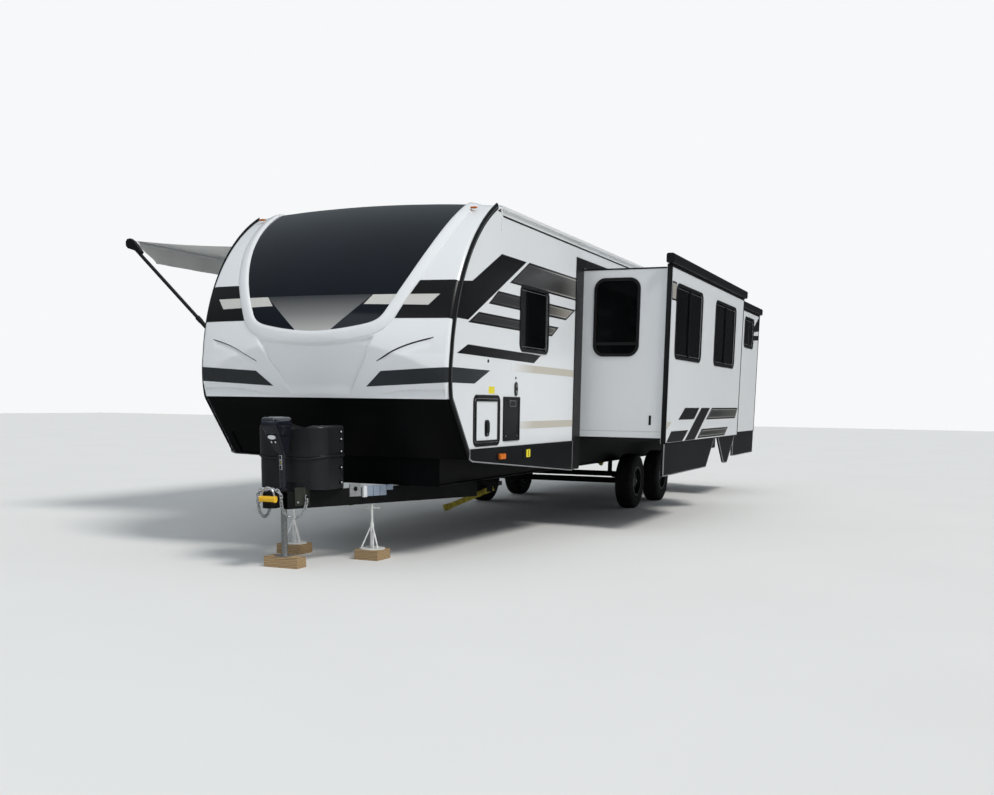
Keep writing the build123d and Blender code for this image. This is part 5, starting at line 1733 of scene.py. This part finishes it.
def signed_power(value, power):
    return (1 if value > 0 else -1) * abs(value) ** power


def front_place(across, down):
    """A point on the jack's sloping front panel."""
    return FRONT_MIDDLE + Vector((across, 0, 0)) + FRONT_DOWN * down


def front_oval(bm, across, down, half, out, material):
    turns = [2 * pi * step / 28 for step in range(28)]
    corners = [front_place(across + half[0] * cos(turn), down + half[1] * sin(turn)) for turn in turns]
    plate(bm, corners, FRONT_OUT * out, material)


def make_jack_dressing():
    bm = bmesh.new()

    def place(u, v):
        turn, rise = 2 * pi * u, pi / 2 * v
        flat = signed_power(cos(rise), CAP_DOME)
        return CAP_MIDDLE + Vector((CAP_HALF[0] * flat * signed_power(cos(turn), CAP_CORNER),
                                    CAP_HALF[1] * flat * signed_power(sin(turn), CAP_CORNER),
                                    CAP_HALF[2] * sin(rise) ** CAP_DOME))

    formed_grid(bm, CAP_STEPS, CAP_RINGS, place)
    brim = rounded(BRIM_YS, BRIM_XS, 0.036, 8)
    plate(bm, [at(x, y, BRIM_H) for y, x in brim], Vector((0, 0, BRIM_T)))
    plate(bm, [front_place(*corner) for corner in FRONT_PANEL], FRONT_OUT * 0.006)
    for *measures, finish in FRONT_OVALS:
        front_oval(bm, *measures, JACK_SLOTS.index(finish))
    for x in (ROAD * 0.0665, CURB * 0.0665):
        box(bm, at(x - 0.005, 0.080, 1.086), at(x + 0.005, 0.170, 1.146), 0.0045)
    for step in range(3):
        base = LEVEL_H + step * LEVEL_STEP
        box(bm, at(-0.0125, 0.1555, base), at(0.0125, 0.1625, base + 0.036), 0.002, 1)
        vial = JACK_SLOTS.index("label_yellow" if step == 1 else "black_trim")
        box(bm, at(-0.004, 0.1545, base + 0.010), at(0.004, 0.1565, base + 0.026), 0.001, vial)
    return make_piece("jack_dressing", bm, JACK_SLOTS, "trailer", weld=0.00002)


print("jack dressing faces", len(make_jack_dressing().data.polygons))
dress(frame["nodes"]["jack_tube"], finishes["jack_gloss"])

# %% [markdown]
# The bottle cover's hood ends in a rolled bead that follows its bowed edge all round. Just above
# the bead a thin black wire runs with it as painted shade for the groove there. Five snaps stand
# one over the other on each flank, and the base has a hand slot in front.

# %% Cover dressing
COVER_X, COVER_Y = 0.325, (0.262, 0.700)
BEAD_R = 0.0100
# radius of the black wire painted as the shade in the groove above the bead
GROOVE_SHADE_R = 0.0040
SNAP_HEIGHTS = (0.690, 0.815, 0.948, 1.050, 1.110)
SNAP_Y = 0.560
HOOD_H, HOOD_BOW, HOOD_HALF = 0.862, 0.048, 0.345


def hood_edge(x):
    """Height of the hood's bowed lower edge."""
    return HOOD_H + HOOD_BOW * (x / HOOD_HALF) ** 2


def make_cover_dressing():
    bm = bmesh.new()
    plan = rounded((-COVER_X, COVER_X), COVER_Y, 0.120, 12)
    # the second row is the black wire above the bead: painted shade of the groove
    rows = ((BEAD_R, BEAD_R, 10, 0), (2 * BEAD_R + GROOVE_SHADE_R, GROOVE_SHADE_R, 8, 1))
    for rise, radius, sides, material in rows:
        line = [at(x, y, hood_edge(x) + rise) for x, y in plan]
        swept(bm, line, radius, Vector((0, 0, 1)), sides, closed=True, material=material)
    for side in (ROAD, CURB):
        for height in SNAP_HEIGHTS:
            spot = at(side * (COVER_X - 0.008), SNAP_Y, height)
            bar(bm, spot, spot + Vector((side * 0.013, 0, 0)), 0.017, 20, 1)
            bar(bm, spot, spot + Vector((side * 0.018, 0, 0)), 0.0065, 16, 2)
    box(bm, at(-0.070, COVER_Y[0] - 0.002, 0.692), at(0.070, COVER_Y[0] + 0.010, 0.712), 0.001, 1)
    names = ["cover_plastic", "black_trim", "lens_white"]
    return make_piece("cover_dressing", bm, names, "trailer", weld=0.00002)


print("cover dressing faces", len(make_cover_dressing().data.polygons))

# %% [markdown]
# On the outer face of the road-side tongue rail are an olive gusset at the front, a bracket
# with a bolt, and a pale plate in four parts. A yellow lock with a steel shackle closes the
# coupler. Everything on the rail is placed by its station along it.

# %% Tongue fittings
RAIL_SLOPE = 0.4081
RAIL_FACE_X = 0.0944
RAIL_OUT = Vector((1, -RAIL_SLOPE, 0)).normalized()
LOCK_Y, LOCK_H = -0.086, 0.585
LOCK_BARS = [
    # from, to, radius: the body and a collar at each end
    (-0.030, 0.104, 0.0235), (-0.034, -0.022, 0.027), (0.096, 0.108, 0.027)]
SHACKLE_STEPS = 20
SHACKLE_X, SHACKLE_H = 0.037, 0.608
SHACKLE_HALF, SHACKLE_RISE, SHACKLE_DROP = 0.058, 0.068, 0.020
TONGUE_SLOTS = ["olive_paint", "chain_zinc", "lens_white", "plate_blue", "black_trim", "lock_yellow"]
RAIL_PLATES = [
    # stations, heights, out, finish
    ((0.172, 0.307), (0.512, 0.660), 0.008, "olive_paint"),      # gusset
    ((0.690, 0.800), (0.560, 0.668), 0.010, "chain_zinc"),       # bracket
    ((0.815, 0.850), (0.550, 0.648), 0.026, "lens_white"),
    ((0.856, 0.919), (0.556, 0.646), 0.014, "plate_blue"),       # plate in four parts
    ((0.925, 0.988), (0.556, 0.646), 0.014, "plate_blue"),
    ((0.994, 1.057), (0.556, 0.646), 0.014, "plate_blue"),
    ((1.063, 1.126), (0.600, 0.646), 0.014, "plate_blue"),
    ((0.850, 1.128), (0.600, 0.640), 0.008, "chain_zinc")]
RAIL_BOLTS = [
    # station, height, radius, out, sides, finish
    (0.197, 0.540, 0.010, 0.015, 6, "chain_zinc"), (0.282, 0.540, 0.010, 0.015, 6, "chain_zinc"),
    (0.745, 0.625, 0.020, 0.014, 24, "black_trim"), (0.745, 0.625, 0.013, 0.024, 6, "black_trim")]
plain_finish("olive_paint", (0.030, 0.034, 0.024), 0.5, blotch=14.0, spread=0.25, grain=120.0,
             grain_strength=0.12)
plain_finish("plate_blue", (0.38, 0.45, 0.56), 0.38, 0.3, blotch=8.0, spread=0.10, grain=200.0,
             grain_strength=0.05)
plain_finish("lock_yellow", (0.80, 0.46, 0.01), 0.35, blotch=12.0, spread=0.08, grain=60.0,
             grain_strength=0.05, coat=(0.4, 0.1))


def rail_place(station, height):
    return at(RAIL_FACE_X + RAIL_SLOPE * (station - 0.12), station, height)


def rail_plate(bm, stations, heights, out, material):
    start, end = stations
    low, high = heights
    corners = [rail_place(y, h) for y, h in ((start, low), (end, low), (end, high), (start, high))]
    plate(bm, corners, RAIL_OUT * out, material)


def rail_bolt(bm, station, height, radius, out, sides, material):
    spot = rail_place(station, height)
    bar(bm, spot, spot + RAIL_OUT * out, radius, sides, material)


def make_tongue_fittings():
    bm = bmesh.new()
    for *measures, finish in RAIL_PLATES:
        rail_plate(bm, *measures, TONGUE_SLOTS.index(finish))
    for *measures, finish in RAIL_BOLTS:
        rail_bolt(bm, *measures, TONGUE_SLOTS.index(finish))
    for start, end, radius in LOCK_BARS:
        bar(bm, at(start, LOCK_Y, LOCK_H), at(end, LOCK_Y, LOCK_H), radius, 28, 5)
    turns = [pi * step / SHACKLE_STEPS for step in range(SHACKLE_STEPS + 1)]
    arc = [at(SHACKLE_X + SHACKLE_HALF * cos(turn), LOCK_Y, SHACKLE_H + SHACKLE_RISE * sin(turn))
           for turn in turns]
    drop = Vector((0, 0, SHACKLE_DROP))
    shackle = [arc[0] - drop] + arc + [arc[-1] - drop]
    swept(bm, shackle, 0.0075, Vector((0, 1, 0)), 12, material=1)
    box(bm, at(0.020, -0.084, 0.560), at(0.054, -0.060, 0.612), 0.003, 4)
    return make_piece("tongue_fittings", bm, TONGUE_SLOTS, "trailer")


print("tongue fitting faces", len(make_tongue_fittings().data.polygons))

# %% [markdown]
# The awning stands rolled out. Its cloth is stretched from the wall to the top of the roller
# and sags a little between them. A valance hangs from the roller, cut at an angle at both ends
# and softly waved. The arm heads are black castings, and each arm is a thicker lower tube with
# a thinner one inside.

# %% Awning
CLOTH_Y = (2.545, 8.355)
WALL_EDGE, ROLLER_EDGE = (-1.224, 2.911), (-3.392, 3.0400)
SAG = 0.034
VALANCE_X = -3.350
VALANCE_H = (2.992, 2.828)
VALANCE_CUT, VALANCE_SHORT = 0.24, 0.010
VALANCE_WAVES = [(0.007, 0.46), (0.004, 1.31)]     # depth at the hem, length
ARM_Y = (2.450, 8.450)
ARM_FOOT, ARM_TOP = (-1.262, 1.025), (-3.392, 3.000)
HEAD_T, PIN_HALF, PIN_R = 0.047, 0.029, 0.010
ARM_TUBES = [
    # shares of the way from foot to top, radius
    (0.05, 0.58, 0.0235), (0.58, 0.60, 0.0270), (0.60, 0.94, 0.0192)]
ARM_HEAD = [
    # outline of the casting: across, height
    (-3.438, 3.020), (-3.420, 3.045), (-3.380, 3.052), (-3.330, 3.020), (-3.235, 2.905),
    (-3.262, 2.880), (-3.330, 2.925), (-3.415, 2.950), (-3.438, 2.975)]


def make_awning_cloth():
    def place(u, v):
        sag = SAG * 4 * v * (1 - v) * (0.75 + 0.25 * cos(4 * pi * (u - 0.5)))
        height = mix(WALL_EDGE[1], ROLLER_EDGE[1], v) - sag
        return at(mix(WALL_EDGE[0], ROLLER_EDGE[0], v), mix(*CLOTH_Y, u), height)

    bm = bmesh.new()
    formed_grid(bm, 96, 40, place)
    cloth = make_piece("awning_cloth", bm, ["awning_cloth"], "trailer")
    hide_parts("awning_fabric")
    return cloth


def make_valance():
    def place(u, v):
        cut = VALANCE_CUT * smooth_step(v)
        y = mix(CLOTH_Y[0] + VALANCE_SHORT + cut, CLOTH_Y[1] - VALANCE_SHORT - cut, u)
        wave = sum(depth * v * sin(2 * pi * y / length) for depth, length in VALANCE_WAVES)
        return at(VALANCE_X + wave, y, mix(*VALANCE_H, v))

    bm = bmesh.new()
    formed_grid(bm, 220, 10, place)
    valance = make_piece("awning_valance", bm, ["awning_cloth"], "trailer")
    return valance


def make_arm_dressing():
    bm = bmesh.new()
    pin = Vector((0, PIN_HALF, 0))
    for y in ARM_Y:
        foot, top = at(ARM_FOOT[0], y, ARM_FOOT[1]), at(ARM_TOP[0], y, ARM_TOP[1])
        plate(bm, [at(x, y - HEAD_T / 2, h) for x, h in ARM_HEAD], Vector((0, HEAD_T, 0)))
        for start, end, radius in ARM_TUBES:
            bar(bm, foot.lerp(top, start), foot.lerp(top, end), radius, 20)
        bar(bm, foot - pin, foot + pin, PIN_R, 14, 1)
    return make_piece("awning_arm_dressing", bm, DOOR_SLOTS, "trailer")


for piece in (make_awning_cloth(), make_valance(), make_arm_dressing()):
    print(piece.name, len(piece.data.polygons))
dress(frame["nodes"]["awning_arms"], finishes["black_trim"])
dress(frame["nodes"]["awning_roller"], finishes["white_metal"])

# %% [markdown]
# The entry door has a black rim, a paddle handle with a dead bolt, and a folding grab rail
# beside it. A small porch lamp sits on the wall above the rail. The step has ribs pressed
# across its tread.

# %% Entry door and step
DOOR_X = -(HALF_WIDTH + 0.002)
DOOR_FRAMES = [
    # stations, heights, corner radius, width, out, finish
    ((4.3565, 5.0635), (0.9925, 2.7700), 0.042, 0.020, 0.005, "black_trim"),   # rim
    ((4.480, 4.940), (1.880, 2.620), 0.060, 0.024, 0.006, "black_trim")]       # its window
DOOR_PLATES = [
    # stations, heights, corner radius, out, finish
    ((4.925, 5.035), (1.640, 1.820), 0.018, 0.010, "black_trim"),
    ((4.940, 5.020), (1.690, 1.775), 0.014, 0.022, "black_trim"),              # handle
    ((4.965, 4.995), (1.650, 1.680), 0.0149, 0.016, "bright_zinc")]            # dead bolt
RAIL_Y, RAIL_HS, RAIL_R = 5.190, (1.180, 2.020), 0.0125
GRAB_RAIL = [
    # out from the wall, height
    (0.006, 1.180), (0.045, 1.186), (0.062, 1.220), (0.064, 1.350), (0.064, 1.850), (0.062, 1.980),
    (0.045, 2.014), (0.006, 2.020)]
ENTRY_SLOTS = ["black_trim", "lens_white"]
RAIL_FEET = [((RAIL_Y - 0.028, RAIL_Y + 0.028), (h - 0.040, h + 0.040), 0.012, 0.012, "black_trim")
             for h in RAIL_HS]
PORCH_LAMP = [
    # stations, heights, corner radius, out, finish
    ((5.150, 5.250), (2.300, 2.440), 0.020, 0.014, "black_trim"),
    ((5.162, 5.238), (2.312, 2.428), 0.018, 0.040, "lens_white")]
TREAD_RIBS = 9
TREAD_YS, EDGE_YS = (4.440, 4.980), (4.410, 5.010)


def make_door_dressing():
    bm = bmesh.new()
    wall_rows(bm, DOOR_X, DOOR_SLOTS, DOOR_FRAMES, DOOR_PLATES)
    return make_piece("entry_door_dressing", bm, DOOR_SLOTS, "entry_door")


def make_entry_fittings():
    bm = bmesh.new()
    wall_rows(bm, -HALF_WIDTH, ENTRY_SLOTS, [], RAIL_FEET + PORCH_LAMP)
    line = [at(-HALF_WIDTH - out, RAIL_Y, h) for out, h in GRAB_RAIL]
    swept(bm, line, RAIL_R, Vector((0, 1, 0)), 14)
    return make_piece("entry_fittings", bm, ENTRY_SLOTS, "trailer")


def make_step_dressing():
    bm = bmesh.new()
    for row in range(TREAD_RIBS):
        x = -1.548 + row * 0.0252
        box(bm, at(x - 0.004, TREAD_YS[0], 0.612), at(x + 0.004, TREAD_YS[1], 0.6145), 0.001)
    box(bm, at(-1.5605, EDGE_YS[0], 0.588), at(-1.5560, EDGE_YS[1], 0.6135), 0.001, 1)
    return make_piece("step_dressing", bm, ["frame_black", "edge_metal"], "entry_step")


for piece in (make_door_dressing(), make_entry_fittings(), make_step_dressing()):
    print(piece.name, len(piece.data.polygons))

# %% [markdown]
# On the roof the air conditioner has louvres in its flanks and back, and a gasket at its foot.
# Each vent has a lid with two pressed ribs and a flange with screws. The rear wall gets corner
# mouldings, marker lamps along its top, and a black bezel and a white lens on each tail lamp.
# The bumper tube has end caps.

# %% Roof and rear
SIDE_LOUVRES, BACK_LOUVRES = 9, 11
FLANGE, SCREWS = 0.245, 0.228     # half widths of a vent's flange and of its rows of screws
VENTS = ((0.200, 2.700), (-0.250, 7.600), (-0.250, 9.800))
TAIL_LAMP = [
    # half width, half height, height of its middle, out from the wall, slot: bezel and white lens
    (0.052, 0.132, 1.300, 0.010, 0), (0.030, 0.030, 1.230, 0.030, 4)]


def make_roof_dressing():
    bm = bmesh.new()
    for side in (ROAD, CURB):
        for row in range(SIDE_LOUVRES):
            y = 5.760 + row * 0.045
            box(bm, at(side * 0.338, y, 3.150), at(side * 0.352, y + 0.022, 3.225), 0.003)
    for row in range(BACK_LOUVRES):
        x = -0.230 + row * 0.044
        box(bm, at(x, 6.272, 3.140), at(x + 0.022, 6.302, 3.235), 0.003)
    box(bm, at(-0.362, 5.288, roof_h(0.35) - 0.006), at(0.362, 6.312, roof_h(0) + 0.010), 0.004)
    for x, y in VENTS:
        low, high = roof_h(abs(x) + 0.2) - 0.006, roof_h(x) + 0.003
        box(bm, at(x - FLANGE, y - FLANGE, low), at(x + FLANGE, y + FLANGE, high), 0.003, 1)
        for rib in (x - 0.090, x + 0.090):
            box(bm, at(rib - 0.018, y - 0.170, 3.166), at(rib + 0.018, y + 0.170, 3.176), 0.005, 1)
        for across in (-SCREWS, SCREWS):
            for along in (-SCREWS, -SCREWS / 3, SCREWS / 3, SCREWS):
                spot = at(x + across, y + along, roof_h(x + across) - 0.002)
                bar(bm, spot, spot + Vector((0, 0, 0.008)), 0.008, 10, 2)
    names = ["black_trim", "white_metal", "bright_zinc"]
    return make_piece("roof_dressing", bm, names, "trailer")


def make_rear_dressing():
    bm = bmesh.new()
    for side in (ROAD, CURB):
        box(bm, at(side * 1.196, REAR_Y - 0.004, 0.985), at(side * 1.2205, REAR_Y + 0.004, 3.020),
            0.003, 1)
        for half_x, half_h, height, out, material in TAIL_LAMP:
            middle = at(side * 1.060, REAR_Y, height)
            box(bm, middle - Vector((half_x, 0, half_h)), middle + Vector((half_x, out, half_h)), 0.006,
                material)
        cap = side * 1.1045
        box(bm, at(cap - 0.0085, 11.386, 0.636), at(cap + 0.0085, 11.494, 0.744), 0.006)
    for x in (-1.060, -0.150, 0.0, 0.150, 1.060):
        box(bm, at(x - 0.045, REAR_Y - 0.001, 2.935), at(x + 0.045, REAR_Y + 0.018, 2.965), 0.006, 3)
    box(bm, at(-1.195, REAR_Y - 0.001, 2.995), at(1.195, REAR_Y + 0.006, 3.030), 0.002, 1)
    names = ["black_trim", "white_metal", "bright_zinc", "lamp_red", "lens_white"]
    return make_piece("rear_dressing", bm, names, "trailer")


for piece in (make_roof_dressing(), make_rear_dressing()):
    print(piece.name, len(piece.data.polygons))
